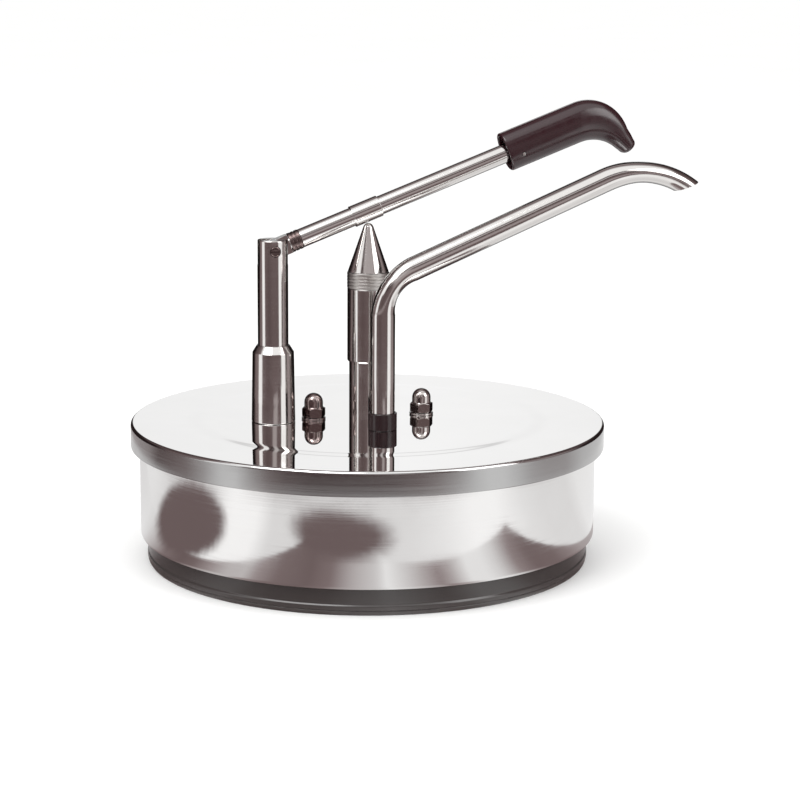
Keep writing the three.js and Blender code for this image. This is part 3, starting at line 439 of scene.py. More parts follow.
def smooth(piece, degrees=38):
    """Shades a piece smooth except across sharp edges. Large faces keep their own normals, so flat
    and straight walls mirror cleanly right up to their rounded edges."""
    piece.data.shade_smooth()
    piece.data.set_sharp_from_angle(angle=radians(degrees))
    if "normals" not in piece.modifiers:
        normals = piece.modifiers.new("normals", "WEIGHTED_NORMAL")
        normals.keep_sharp = True


def new_piece(name, points, faces, place):
    mesh = bpy.data.meshes.new(name)
    mesh.from_pydata([tuple(p) for p in points], [], faces)
    mesh.validate()
    piece = bpy.data.objects.new(name, mesh)
    bpy.context.scene.collection.objects.link(piece)
    piece.matrix_world = place
    smooth(piece)
    return piece


def spun(name, corners, place, sides=ROUND, closed=False):
    """A turned piece: the outline of (radius, z, fillet) corners spun about the placed Z axis. It
    runs anticlockwise, and either starts and ends on the axis or is closed."""
    outline = softened(corners, closed)
    points = []
    rows = []
    for r, z in outline:
        if r < 1e-7:
            rows.append([len(points)] * sides)
            points.append((0.0, 0.0, z))
            continue
        first = len(points)
        rows.append(list(range(first, first + sides)))
        points += circle_ring(r, z, sides)
    faces = []
    pairs = len(rows) if closed else len(rows) - 1
    for i in range(pairs):
        faces += band(rows[i], rows[(i + 1) % len(rows)])
    return new_piece(name, points, faces, place)


def band(near, far):
    """Faces between two rows of points that each run once round."""
    faces = []
    count = len(near)
    for j in range(count):
        after = (j + 1) % count
        ring = [near[j], near[after], far[after], far[j]]
        face = [p for k, p in enumerate(ring) if p != ring[k - 1]]
        if len(face) > 2:
            faces.append(face)
    return faces


def lofted(name, rings, place, closed=False):
    """A skin over rings of points. Open lofts end in a face over the first and the last ring."""
    count = len(rings[0])
    rows = [list(range(i * count, (i + 1) * count)) for i in range(len(rings))]
    pairs = len(rows) if closed else len(rows) - 1
    faces = []
    for i in range(pairs):
        faces += band(rows[i], rows[(i + 1) % len(rows)])
    if not closed:
        faces.append(rows[0][::-1])
        faces.append(rows[-1])
    return new_piece(name, [p for ring in rings for p in ring], faces, place)


def plate_rings(outline, low_z, high_z, edge):
    """Rings for a flat plate of an (x, y) outline, with its two rims rounded by edge."""
    centre = sum(outline, Vector((0, 0))) / len(outline)
    steps = 3
    levels = []
    for i in range(steps + 1):
        angle = pi / 2 * i / steps
        levels.append((edge * (1 - sin(angle)), low_z + edge * (1 - cos(angle))))
    levels += [(inset, low_z + high_z - z) for inset, z in reversed(levels)]
    rings = []
    for inset, z in levels:
        ring = []
        for p in outline:
            inward = (centre - p).normalized() * inset
            ring.append((p.x + inward.x, p.y + inward.y, z))
        rings.append(ring)
    return rings


def carve(piece, cutters, operation="DIFFERENCE", bevel=0.0):
    """Cuts other pieces out of a piece, or joins them to it, and can round its sharp edges."""
    piece.modifiers.clear()
    for cutter in cutters:
        modifier = piece.modifiers.new("cut", "BOOLEAN")
        modifier.operation = operation
        modifier.solver = "EXACT"
        modifier.object = cutter
    if bevel:
        edge = piece.modifiers.new("edge", "BEVEL")
        edge.width = bevel
        edge.segments = 2
        edge.limit_method = "ANGLE"
        edge.angle_limit = radians(40)
        edge.harden_normals = False
    depsgraph = bpy.context.evaluated_depsgraph_get()
    mesh = bpy.data.meshes.new_from_object(piece.evaluated_get(depsgraph))
    piece.modifiers.clear()
    piece.data = mesh
    smooth(piece, 32)
    for cutter in cutters:
        bpy.data.objects.remove(cutter)
    return piece


def block(name, low_corner, high_corner, place):
    """A plain box, for the floor and for cutting."""
    (x0, y0, z0), (x1, y1, z1) = low_corner, high_corner
    rings = [[(x0, y0, z), (x1, y0, z), (x1, y1, z), (x0, y1, z)] for z in (z0, z1)]
    return lofted(name, rings, place)


def stand_for(piece, node, finish):
    """Gives a placed piece its finish and its body, and hides the CAD node that it stands for."""
    piece.data.materials.clear()
    piece.data.materials.append(finish)
    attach(piece, BODY[node])
    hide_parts(node)
    return piece


def ring_corners(inner, outer, low_z, high_z, edge):
    return [
        (inner, low_z, edge), (outer, low_z, edge), (outer, high_z, edge),
        (inner, high_z, edge),
    ]


def turned(node, corners, finish, sides=ROUND, closed=True, place=None):
    """Spins the fine piece for a node, about the node's own upright axis or about a place."""
    if place is None:
        place = axis_of(node)
    return stand_for(spun(f"{node}_fine", corners, place, sides, closed), node, finish)


def rod(name, reach, low_z, high_z, place, sides=SMALL):
    """A plain round bar, for cutting."""
    corners = [(0, low_z, 0), (reach, low_z, 0), (reach, high_z, 0), (0, high_z, 0)]
    return spun(name, corners, place, sides)


# ---- pot and lid

def make_pot():
    rim_radius = radius("pot")
    wall = rim_radius - 3.2 * MM
    foot_radius = wall - 6.2 * MM
    rim_z = top("pot")
    rim_low_z = rim_z - 3.3 * MM
    foot_z = 16.2 * MM
    inner = wall - SHEET
    inner_foot = foot_radius - SHEET
    corners = [
        (0, 0, 0), (foot_radius, 0, 3.5 * MM), (foot_radius, foot_z, 0.4 * MM),
        (wall, foot_z, 2.4 * MM), (wall, rim_low_z, 0.5 * MM),
        (rim_radius, rim_low_z, 1.2 * MM), (rim_radius, rim_z, 1.2 * MM),
        (inner, rim_z, 0.6 * MM), (inner, foot_z + SHEET, 1.8 * MM),
        (inner_foot, foot_z + SHEET, 0.4 * MM), (inner_foot, SHEET, 2.8 * MM),
        (0, SHEET, 0),
    ]
    turned("pot", corners, pot_finish, FINE, False, Matrix())


def make_base_ring():
    lip = radius("base_ring")
    wall = lip - 0.8 * MM
    inner = lip - 2.0 * MM
    bead = wall + 0.35 * MM
    ring_top = top("base_ring")
    corners = [
        (inner, 0, 0.2 * MM), (wall - 0.4 * MM, 0, 0.3 * MM), (bead, 1.2 * MM, 0.5 * MM),
        (bead, 2.3 * MM, 0.2 * MM), (wall + 0.05 * MM, 2.6 * MM, 0.2 * MM),
        (lip, 3.3 * MM, 0.5 * MM), (lip, 5.5 * MM, 1.1 * MM), (wall, 6.5 * MM, 0.5 * MM),
        (wall, ring_top, 0.5 * MM), (inner, ring_top, 0.2 * MM),
    ]
    turned("base_ring", corners, foot, FINE, True, Matrix())


def make_lid():
    outer = radius("lid")
    inner = outer - SHEET
    deck_z = top("lid")
    outer_z = deck_z - 0.8 * MM
    skirt_z = bottom("lid")
    step_in = 105 * MM
    step_out = 113 * MM
    slow = 60 * MM  # the step is pressed in with wide, soft bends
    hole = radius("neck_tube") - 0.4 * MM  # its edge is hidden in the neck's wall
    corners = [
        (hole, deck_z - SHEET, 0), (step_in, deck_z - SHEET, slow),
        (step_out, outer_z - SHEET, slow), (inner, outer_z - SHEET, 1.0 * MM),
        (inner, skirt_z, 0.3 * MM), (outer, skirt_z, 0.4 * MM), (outer, outer_z, 2.0 * MM),
        (step_out, outer_z, slow), (step_in, deck_z, slow), (hole, deck_z, 0),
    ]
    turned("lid", corners, lid_finish, FINE, True, Matrix())


# ---- nuts, washers and bolts

def hex_reach(angle, flats):
    """Distance from a hexagon's centre to its edge at an angle; a corner lies at angle 0."""
    off = (angle % (pi / 3)) - pi / 6
    return flats / 2 / cos(off)


def hex_rings(flats, low_z, high_z, chamfers):
    """Rings for a hexagonal prism whose corners are cut back by 30 degree chamfers at the ends
    named in chamfers, which are "low" and "high"."""
    corner = flats / sqrt(3)
    slope = tan(radians(30))
    face = flats / 2 * 0.97  # radius at which a chamfer starts
    drop = (corner - face) * slope
    steps = 5
    rises = [drop * k / steps for k in range(steps + 1)]
    levels = [low_z + rise for rise in rises] + [high_z - rise for rise in reversed(rises)]
    rings = []
    for z in levels:
        cone = corner * 1.01
        if "low" in chamfers:
            cone = min(cone, face + (z - low_z) / slope)
        if "high" in chamfers:
            cone = min(cone, face + (high_z - z) / slope)
        ring = []
        for angle in round_angles(HEX_SIDES):
            reach = min(hex_reach(angle, flats), cone)
            ring.append((reach * cos(angle), reach * sin(angle), z))
        rings.append(ring)
    return rings


def hex_circle(r, z):
    """A circle with as many points as a ring of hex_rings."""
    return circle_ring(r, z, HEX_SIDES)


def make_acorn_nut(side):
    node = f"acorn_nut_{side}"
    low_z, high_z = ends(node)
    flats = 13 * MM
    hex_top = low_z + 6.1 * MM
    bore = 4.3 * MM
    bore_top = low_z + 10.6 * MM
    dome = 5.9 * MM
    rings = [hex_circle(bore, bore_top), hex_circle(bore, low_z)]
    rings += hex_rings(flats, low_z, hex_top, ("low", "high"))
    rings.append(hex_circle(dome + 0.25 * MM, hex_top))
    rings.append(hex_circle(dome, hex_top + 0.3 * MM))
    centre_z = high_z - dome
    steps = 14
    for i in range(steps):
        angle = pi / 2 * i / steps
        rings.append(hex_circle(dome * cos(angle), centre_z + dome * sin(angle)))
    flat_tip = 0.12 * MM
    rings.append(hex_circle(flat_tip, high_z))
    stand_for(lofted(f"{node}_fine", rings, axis_of(node)), node, NUT_FINISH[side])


def make_washer(side):
    node = f"washer_{side}"
    bore = 4.4 * MM
    corners = ring_corners(bore, radius(node), *ends(node), 0.25 * MM)
    turned(node, corners, NUT_FINISH[side], SMALL)


def make_flange_bolt(side):
    node = f"flange_bolt_{side}"
    head = radius(node)
    shank = 4 * MM
    low_z = bottom(node)
    under_head = low_z + 3 * MM
    high_z = top(node)
    corners = [
        (0, low_z, 0), (head, low_z, 1.0 * MM), (head, under_head, 0.2 * MM),
        (shank, under_head, 0.2 * MM), (shank, high_z, 0.5 * MM), (0, high_z, 0),
    ]
    turned(node, corners, fastener, SMALL, False)


def make_riser_nut():
    low_z, high_z = ends("riser_nut")
    bore = 7.8 * MM
    flats = 24 * MM
    rings = [hex_circle(bore, low_z)]
    rings += hex_rings(flats, low_z, high_z, ("low", "high"))
    rings.append(hex_circle(bore, high_z))
    stand_for(lofted("riser_nut_fine", rings, axis_of("riser_nut"), True), "riser_nut", bright)


def make_post_bolt():
    low_z = bottom("post_bolt")
    shoulder_z = low_z + 6.4 * MM
    high_z = top("post_bolt")
    flats = 17 * MM
    shank = 5 * MM
    tip_bevel = 0.5 * MM
    end_face = 6.5 * MM
    rings = [hex_circle(end_face, low_z)]
    rings += hex_rings(flats, low_z, shoulder_z, ("low",))
    rings += [hex_circle(shank, shoulder_z), hex_circle(shank, high_z - tip_bevel)]
    rings.append(hex_circle(shank - tip_bevel, high_z))
    stand_for(lofted("post_bolt_fine", rings, axis_of("post_bolt")), "post_bolt", fastener)


# ---- the post

def make_post_base():
    foot_radius = radius("post_base")
    low_z, high_z = ends("post_base")
    shoulder = foot_radius - 0.8 * MM
    bolt_hole = 5.4 * MM
    bore = radius("pivot_post") + 0.3 * MM
    bore_z = low_z + 3 * MM
    corners = [
        (bolt_hole, low_z, 0.2 * MM), (foot_radius - 0.05 * MM, low_z, 0.5 * MM),
        (shoulder, high_z - 4.5 * MM, 0.5 * MM), (bore + 0.35 * MM, high_z, 0.25 * MM),
        (bore, high_z, 0.1 * MM), (bore, bore_z, 0), (bolt_hole, bore_z, 0),
    ]
    turned("post_base", corners, bright)


def make_pivot_post():
    outer = radius("pivot_post")
    low_z, high_z = ends("pivot_post")
    across = 20 * MM  # reaches past the post on every side
    at_pivot = Matrix.Translation(PIVOT)
    corners = [
        (0, low_z, 0), (outer, low_z, 0.3 * MM), (outer, high_z, 0.9 * MM), (0, high_z, 0),
    ]
    post = spun("pivot_post_fine", corners, axis_of("pivot_post"), ROUND)
    slot_low = (-across, -3.5 * MM, -9 * MM)
    slot_high = (across, 3.5 * MM, 30 * MM)
    slot = block("slot_tool", slot_low, slot_high, at_pivot)
    hole = rod("hole_tool", 2.7 * MM, -across, across, at_pivot @ ALONG_Y)
    pocket = rod("pocket_tool", 3.5 * MM, 7.3 * MM, across, at_pivot @ ALONG_Y)
    carve(post, [slot, hole, pocket], bevel=0.22 * MM)
    stand_for(post, "pivot_post", bright)


def make_pivot_screw():
    shaft = 2.5 * MM
    head = 3.2 * MM
    face = -low("pivot_screw")[1]
    end = -high("pivot_screw")[1]
    under_head = 7.5 * MM
    corners = [
        (0, end, 0), (shaft, end, 0.4 * MM), (shaft, under_head, 0.1 * MM),
        (head, under_head, 0.1 * MM), (head, face - 0.35 * MM, 0.3 * MM),
        (head - 0.6 * MM, face, 0.3 * MM), (0, face, 0),
    ]
    place = Matrix.Translation(PIVOT) @ ALONG_Y
    screw = spun("pivot_screw_fine", corners, place, SMALL)
    slot_low = (-6 * MM, -0.5 * MM, face - 0.9 * MM)
    slot_high = (6 * MM, 0.5 * MM, face + 2 * MM)
    carve(screw, [block("slot_tool", slot_low, slot_high, place)], bevel=0.08 * MM)
    stand_for(screw, "pivot_screw", dull)


# ---- neck, cap and rod

def make_neck_tube():
    outer = radius("neck_tube")
    inner = outer - 2 * MM
    low_z, high_z = ends("neck_tube")
    ring_low = bottom("guide_ring") - 0.2 * MM
    ring_high = top("guide_ring") + 0.2 * MM
    groove = outer - 0.7 * MM
    corners = [
        (inner, low_z, 0.2 * MM), (outer, low_z, 0.2 * MM), (outer, ring_low, 0.1 * MM),
        (groove, ring_low, 0.1 * MM), (groove, ring_high, 0.1 * MM),
        (outer, ring_high, 0.1 * MM), (outer, high_z, 0.5 * MM), (inner, high_z, 0.3 * MM),
    ]
    turned("neck_tube", corners, bright)


def make_return_spring():
    """A coil with a closed turn at each end."""
    turns = 9
    steps = 48
    sides = 12
    wire = 0.8 * MM
    coil = radius("return_spring") - wire
    low_z, high_z = ends("return_spring")
    closed_rise = 2.1 * wire
    open_rise = (high_z - low_z - 2 * wire - 2 * closed_rise) / (turns - 2)
    rings = []
    z = low_z + wire
    for k in range(turns * steps + 1):
        angle = 2 * pi * k / steps
        out = Vector((cos(angle), sin(angle), 0))
        middle = out * coil + Vector((0, 0, z))
        ring = []
        for around in round_angles(sides):
            drop = Vector((0, 0, wire * sin(around)))
            ring.append(middle + out * (wire * cos(around)) - drop)
        rings.append(ring)
        in_closed_turn = k < steps or k >= (turns - 1) * steps
        z += (closed_rise if in_closed_turn else open_rise) / steps
    spring = lofted("return_spring_fine", rings, axis_of("plunger_rod"))
    stand_for(spring, "return_spring", spring_finish)
    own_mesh(spring)


def make_plunger_sleeve():
    outer = radius("plunger_sleeve")
    inner = outer - 0.8 * MM
    low_z, high_z = ends("plunger_sleeve")
    web_z = high_z - 2 * MM
    corners = [
        (inner, low_z, 0.1 * MM), (outer - 0.35 * MM, low_z, 0.15 * MM),
        (outer, low_z + 0.8 * MM, 0.3 * MM), (outer, high_z, 0.35 * MM),
        (STUD_HOLE, high_z, 0.1 * MM), (STUD_HOLE, web_z, 0.1 * MM),
        (inner, web_z, 0.3 * MM),
    ]
    turned("plunger_sleeve", corners, bright)


def make_plunger_ring():
    outer = radius("plunger_ring")
    low_z, high_z = ends("plunger_ring")
    rim = outer - 0.1 * MM
    floor = outer - 0.45 * MM
    half = 0.4 * MM
    half_floor = half * 0.3
    corners = [(STUD_HOLE, low_z, 0.1 * MM), (rim, low_z, 0.4 * MM)]
    for share in (0.2, 0.4, 0.6, 0.8):
        z = low_z + share * (high_z - low_z)
        corners.append((outer, z - half, 0.15 * MM))
        corners.append((floor, z - half_floor, 0.15 * MM))
        corners.append((floor, z + half_floor, 0.15 * MM))
        corners.append((outer, z + half, 0.15 * MM))
    corners += [(rim, high_z, 0.4 * MM), (STUD_HOLE, high_z, 0.1 * MM)]
    turned("plunger_ring", corners, satin)


def make_plunger_cone():
    base = radius("plunger_cone")
    low_z, high_z = ends("plunger_cone")
    tip = 3.3 * MM
    tip_z = high_z - tip
    lean = atan2(base - tip, tip_z - low_z)
    socket_z = low_z + 9 * MM
    corners = [
        (0, socket_z, 0), (STUD_HOLE, socket_z, 0), (STUD_HOLE, low_z, 0.1 * MM),
        (base, low_z, 0.25 * MM),
    ]
    steps = 12
    for i in range(steps):
        angle = lean + (pi / 2 - lean) * i / steps
        corners.append((tip * cos(angle), tip_z + tip * sin(angle), 0))
    corners.append((0, high_z, 0))
    turned("plunger_cone", corners, bright, closed=False)


def make_pump_cylinder():
    node = "pump_cylinder"
    outer = radius(node)
    corners = ring_corners(outer - 2 * MM, outer, *ends(node), 0.3 * MM)
    turned(node, corners, bright)


def make_flange(node, finish, edge, bore):
    """A plate under the lid, with the pump's bore through it."""
    (x0, y0, low_z), (x1, y1, high_z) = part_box(node)
    corner = 12 * MM
    corners = [(x0, y0, corner), (x1, y0, corner), (x1, y1, corner), (x0, y1, corner)]
    rings = plate_rings(softened(corners, True), low_z, high_z, edge)
    piece = lofted(f"{node}_fine", rings, Matrix())
    carve(piece, [rod("bore_tool", bore, low_z - MM, high_z + MM, Matrix())])
    stand_for(piece, node, finish)


def valve_outline(big, small, reach):
    """Outline round a big circle at the origin and a small one at Y = reach, joined by tangents."""
    lean = asin((big - small) / -reach)
    arcs = (
        (0.0, big, -lean, pi + 2 * lean),
        (reach, small, pi + lean, pi - 2 * lean),
    )
    outline = []
    steps = 40
    for centre_y, r, start, sweep in arcs:
        for i in range(steps + 1):
            angle = start + sweep * i / steps
            outline.append(Vector((r * cos(angle), centre_y + r * sin(angle))))
    return outline


def make_valve_body():
    (_, y0, low_z), (x1, _, high_z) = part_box("valve_body")
    small = 11 * MM
    reach = y0 + small
    block_top = low_z + 24 * MM
    rings = plate_rings(valve_outline(x1, small, reach), low_z, block_top, 0.8 * MM)
    body = lofted("valve_body_fine", rings, Matrix())
    at_riser = Matrix.Translation((0, reach, 0))
    boss = small - 0.05 * MM
    boss_z = low_z + 2 * MM
    boss_corners = [(0, boss_z, 0), (boss, boss_z, 0), (boss, high_z, 0.8 * MM), (0, high_z, 0)]
    carve(body, [spun("boss_tool", boss_corners, at_riser, ROUND)], "UNION")
    seat = 9.3 * MM
    seat_z = low_z + 4.2 * MM
    chamber = 7.4 * MM
    barrel = 19.3 * MM
    barrel_z = block_top - 4 * MM
    pump_bore = [
        (0, low_z - MM, 0), (seat, low_z - MM, 0), (seat, seat_z, 0), (chamber, seat_z, 0),
        (chamber, barrel_z, 0), (barrel, barrel_z, 0), (barrel, block_top + MM, 0),
        (0, block_top + MM, 0),
    ]
    outlet = 3.5 * MM
    outlet_low_z = low_z + 6 * MM
    outlet_z = low_z + 12 * MM
    riser = 7.8 * MM
    socket = 9.9 * MM
    socket_z = high_z - 4 * MM
    riser_bore = [
        (0, outlet_low_z, 0), (outlet, outlet_low_z, 0), (outlet, outlet_z, 0),
        (riser, outlet_z, 0), (riser, socket_z, 0), (socket, socket_z, 0),
        (socket, high_z + MM, 0), (0, high_z + MM, 0),
    ]
    at_passage = Matrix.Translation((0, 0, low_z + 9 * MM)) @ ALONG_Y
    passage = 2.9 * MM
    passage_start = 5 * MM  # inside the chamber, towards the riser
    carve(body, [rod("bore_tool", passage, passage_start, -reach, at_passage)])
    carve(body, [spun("bore_tool", pump_bore, Matrix(), SMALL)])
    carve(body, [spun("bore_tool", riser_bore, at_riser, SMALL)])
    stand_for(body, "valve_body", white)


# ---- lever

def lever_span(node):
    return span_along(node, LEVER)


def lever_ends(node):
    """Where a round node on the lever starts and ends along it, and its outer radius."""
    (x0, y0, _), (x1, y1, _) = lever_span(node)
    return x0, x1, (y1 - y0) / 2


def make_lever_pipe(node, wall, edge):
    x0, x1, outer = lever_ends(node)
    corners = ring_corners(outer - wall, outer, x0, x1, edge)
    turned(node, corners, bright, place=LEVER @ ALONG_X)


def make_lever_locknut():
    x0, x1, outer = lever_ends("lever_locknut")
    bore = 4.8 * MM
    floor = outer - 0.35 * MM
    half = 0.45 * MM
    half_floor = half * 0.5
    corners = [(bore, x0, 0.1 * MM), (outer, x0, 0.25 * MM)]
    for share in (0.32, 0.66):
        x = x0 + share * (x1 - x0)
        corners += [(outer, x - half, 0.15 * MM), (floor, x - half_floor, 0.1 * MM)]
        corners += [(floor, x + half_floor, 0.1 * MM), (outer, x + half, 0.15 * MM)]
    corners += [(outer, x1, 0.25 * MM), (bore, x1, 0.1 * MM)]
    turned("lever_locknut", corners, dull, place=LEVER @ ALONG_X)


def make_lever_end():
    x0, x1, _ = lever_ends("lever_end")
    half_height = -x0
    tongue_end = lever_ends("lever_locknut")[0] - 0.3 * MM
    half_thick = 3.2 * MM
    outline = []
    steps = 24
    for i in range(steps + 1):
        angle = pi / 2 + pi * i / steps
        outline.append(Vector((half_height * cos(angle), half_height * sin(angle))))
    outline += [Vector((tongue_end, -half_height)), Vector((tongue_end, half_height))]
    # plate_rings builds in X and Y, and this turn stands the plate up in the lever's X and Z.
    upright = LEVER @ Matrix.Rotation(pi / 2, 4, "X")
    rings = plate_rings(outline, -half_thick, half_thick, 0.35 * MM)
    tongue = lofted("lever_end_fine", rings, upright)
    root = 3 * MM
    root_x = tongue_end - 3 * MM
    shank = 4.5 * MM
    shank_x = tongue_end - 0.2 * MM
    shank_corners = [
        (0, root_x, 0), (root, root_x, 0), (root, shank_x, 0), (shank, shank_x, 0),
        (shank, x1, 0.4 * MM), (0, x1, 0),
    ]
    carve(tongue, [spun("shank_tool", shank_corners, LEVER @ ALONG_X, SMALL)], "UNION")
    eye = 4.1 * MM
    across = 8 * MM
    carve(tongue, [rod("eye_tool", eye, -across, across, LEVER @ ALONG_Y)])
    stand_for(tongue, "lever_end", bright)


# ---- grip

def grip_path():
    """Upper and lower edge of the grip at each section, as (along, up) in the lever's frame: it is
    straight from its mouth, then two arcs bend it down into a hook, as on the CAD grip."""
    low_corner, high_corner = lever_span("grip")
    mouth = low_corner.x
    upper = high_corner.z
    lower = -11.9 * MM
    outer_bend = 27.4 * MM
    inner_bend = 25.6 * MM
    outer_x = 213.2 * MM
    inner_x = 208 * MM
    sections = []
    for i in range(GRIP_STRAIGHT):
        share = i / GRIP_STRAIGHT
        above = (mouth + share * (outer_x - mouth), upper)
        below = (mouth + share * (inner_x - mouth), lower)
        sections.append((above, below))
    bend = 26
    for i in range(bend + 1):
        outer_turn = radians(90 * i / bend)
        inner_turn = radians(60 * i / bend)
        outer_drop = outer_bend * (1 - cos(outer_turn))
        inner_drop = inner_bend * (1 - cos(inner_turn))
        above = (outer_x + outer_bend * sin(outer_turn), upper - outer_drop)
        below = (inner_x + inner_bend * sin(inner_turn), lower - inner_drop)
        sections.append((above, below))
    # Two last sections round the hook's end.
    sections.append(((241.7 * MM, -19.2 * MM), (231.2 * MM, -26.2 * MM)))
    sections.append(((242.2 * MM, -23.2 * MM), (232.2 * MM, -27.8 * MM)))
    return sections


def oval(middle, half_out, out, half_across, fullness=2.3):
    """A rounded section in the lever's frame. out is the unit direction from its lower to its upper
    edge in X and Z, and across is the lever's Y. At a fullness of 2 it is an ellipse."""
    sides = 64
    power = 2 / fullness
    ring = []
    for angle in round_angles(sides):
        up = copysign(abs(cos(angle)) ** power, cos(angle))
        side = copysign(abs(sin(angle)) ** power, sin(angle))
        spot = middle + out * (half_out * up)
        ring.append((spot.x, half_across * side, spot.y))
    return ring


def grip_mouth_rings(middle, half, out, width):
    """Rings from the end of the lever's bore, through the hollow mouth and over its lip."""
    lip = 2.3 * MM
    depth = 3.5 * MM
    bore = 6.3 * MM
    bevel = 0.3 * MM
    corner = 0.5 * MM
    bore_end_x = 207 * MM
    start = Vector((middle.x, 0))
    ahead = Vector((1, 0))
    inner_half = half - lip
    inner_width = width - lip
    rings = [
        oval(start + ahead * (bore_end_x - middle.x), bore, out, bore, 2),
        oval(start + ahead * (depth + bevel), bore, out, bore, 2),
        oval(start + ahead * depth, bore + bevel, out, bore + bevel, 2),
        oval(middle + ahead * depth, inner_half - corner, out, inner_width - corner),
        oval(middle + ahead * (depth - corner), inner_half, out, inner_width),
    ]
    # The lip is a half round between the hollow and the outside.
    steps = 8
    for i in range(steps + 1):
        angle = pi * i / steps
        grow = lip / 2 * (1 - cos(angle))
        back = lip / 2 * (1 - sin(angle))
        rings.append(oval(middle + ahead * back, inner_half + grow, out, inner_width + grow))
    return rings


def grip_rings():
    mouth_width = 10.2 * MM
    tip_width = 8.1 * MM
    sections = grip_path()
    count = len(sections)
    narrow_from = GRIP_STRAIGHT * 0.7
    rings = []
    for i, (upper, lower) in enumerate(sections):
        upper = Vector(upper)
        lower = Vector(lower)
        narrowing = max(0.0, (i - narrow_from) / (count - narrow_from))
        width = mouth_width + (tip_width - mouth_width) * narrowing
        half = (upper - lower).length / 2
        middle = (upper + lower) / 2
        out = (upper - lower).normalized()
        if i == 0:
            rings += grip_mouth_rings(middle, half, out, width)
        else:
            rings.append(oval(middle, half, out, width))
    # The tip closes with a rounded end, which stops just short of a point.
    ahead = Vector((-out.y, out.x))
    if ahead.y > 0:
        ahead = -ahead
    depth = 3.4 * MM
    steps = 10
    for i in range(1, steps + 1):
        angle = pi / 2 * i / (steps + 0.5)
        shrink = cos(angle) ** 0.8
        spot = middle + ahead * (depth * sin(angle))
        rings.append(oval(spot, half * shrink, out, width * shrink))
    return rings


def make_grip():
    grip = lofted("grip_fine", grip_rings(), LEVER)
    pin_low, pin_high = lever_span("grip_pin")
    pin_middle = (pin_low + pin_high) / 2
    hole_place = LEVER @ Matrix.Translation((pin_middle.x, 0, pin_middle.z)) @ ALONG_Y
    hole = 1.5 * MM
    hole_start = 3 * MM
    hole_end = 14 * MM
    carve(grip, [rod("hole_tool", hole, hole_start, hole_end, hole_place)])
    smooth(grip, 50)
    # Its mesh is turned into the row frame, so that its box isn't a slanted one.
    grip.data.transform(LEVER)
    grip.matrix_world = Matrix()
    stand_for(grip, "grip", grip_finish)
    pin = 1.2 * MM
    pin_corners = [
        (0, -pin_high.y, 0), (pin, -pin_high.y, 0.2 * MM), (pin, -pin_low.y, 0.35 * MM),
        (0, -pin_low.y, 0),
    ]
    turned("grip_pin", pin_corners, fastener, SMALL, False, hole_place)


# ---- spout

def spout_stations():
    """Stations along the spout's centre line in its own upright plane: x, z, heading above +X and
    half height. The tube is squashed a little where it is bent."""
    full = radius_across("spout_tube")
    squashed = full - 1.0 * MM
    rise = radians(22.94)
    bend = 30 * MM
    apex_z = 180.7 * MM
    crest = 58 * MM
    crest_x = 164.5 * MM
    turn = pi / 2 - rise
    start_z = apex_z - bend * tan(turn / 2)
    stations = []
    riser_steps = 6
    riser_z = bottom("spout_tube")
    for i in range(riser_steps):
        z = riser_z + (start_z - riser_z) * i / riser_steps
        stations.append((0.0, z, pi / 2, full))
    bend_steps = 22
    for i in range(bend_steps + 1):
        swept = turn * i / bend_steps
        x = bend * (1 - cos(swept))
        z = start_z + bend * sin(swept)
        flat = sin(pi * i / bend_steps) ** 0.8
        stations.append((x, z, pi / 2 - swept, full + (squashed - full) * flat))
    end_x, end_z = stations[-1][:2]
    crest_start_x = crest_x - crest * sin(rise)
    crest_start_z = end_z + (crest_start_x - end_x) * tan(rise)
    centre_z = crest_start_z - crest * cos(rise)
    slope_steps = 8
    for i in range(1, slope_steps):
        share = i / slope_steps
        x = end_x + share * (crest_start_x - end_x)
        z = end_z + share * (crest_start_z - end_z)
        stations.append((x, z, rise, full))
    last = radians(-46)
    crest_steps = 34
    for i in range(crest_steps + 1):
        heading = rise + (last - rise) * i / crest_steps
        flat = min(1.0, 2.5 * i / crest_steps)
        flat = flat * flat * (3 - 2 * flat)
        x = crest_x - crest * sin(heading)
        z = centre_z + crest * cos(heading)
        stations.append((x, z, heading, full + (squashed - full) * flat))
    return stations


def radius_across(node):
    return (high(node)[1] - low(node)[1]) / 2


def make_spout():
    sides = 64
    wall = 1.0 * MM
    full = radius_across("spout_tube")
    stations = spout_stations()

    def ring(station, inset):
        x, z, heading, half = station
        points = []
        for angle in round_angles(sides):
            out = (half - inset) * cos(angle)
            across = (full - inset) * sin(angle)
            points.append((x + out * sin(heading), across, z - out * cos(heading)))
        return points

    outside = [ring(s, 0.0) for s in stations]
    inside = [ring(s, wall) for s in reversed(stations)]
    middle_y = (high("spout_tube")[1] + low("spout_tube")[1]) / 2
    place = Matrix.Translation((0, middle_y, 0))
    tube = lofted("spout_tube_fine", outside + inside, place, True)
    # The mouth is cut along the line through its upper and lower lip.
    mouth_high = Vector((203.4 * MM, 0, 238.9 * MM))
    mouth_low = Vector((187.2 * MM, 0, 233.0 * MM))
    along = mouth_high - mouth_low
    slope = atan2(along.z, along.x)
    cut_place = place @ Matrix.Translation(mouth_low) @ Matrix.Rotation(-slope, 4, "Y")
    reach = 30 * MM
    across = 20 * MM
    tool = block("mouth_tool", (-reach, -across, -reach), (reach, across, 0), cut_place)
    carve(tube, [tool], bevel=0.12 * MM)
    stand_for(tube, "spout_tube", bright)


def make_collar():
    bore = radius_across("spout_tube") + 0.3 * MM
    outer = radius("spout_collar")
    low_z, high_z = ends("spout_collar")
    corners = [
        (bore, low_z, 0.1 * MM), (outer, low_z, 0.3 * MM), (outer, high_z, 0.8 * MM),
        (bore, high_z, 0.2 * MM),
    ]
    turned("spout_collar", corners, black)


# ---- all the pieces

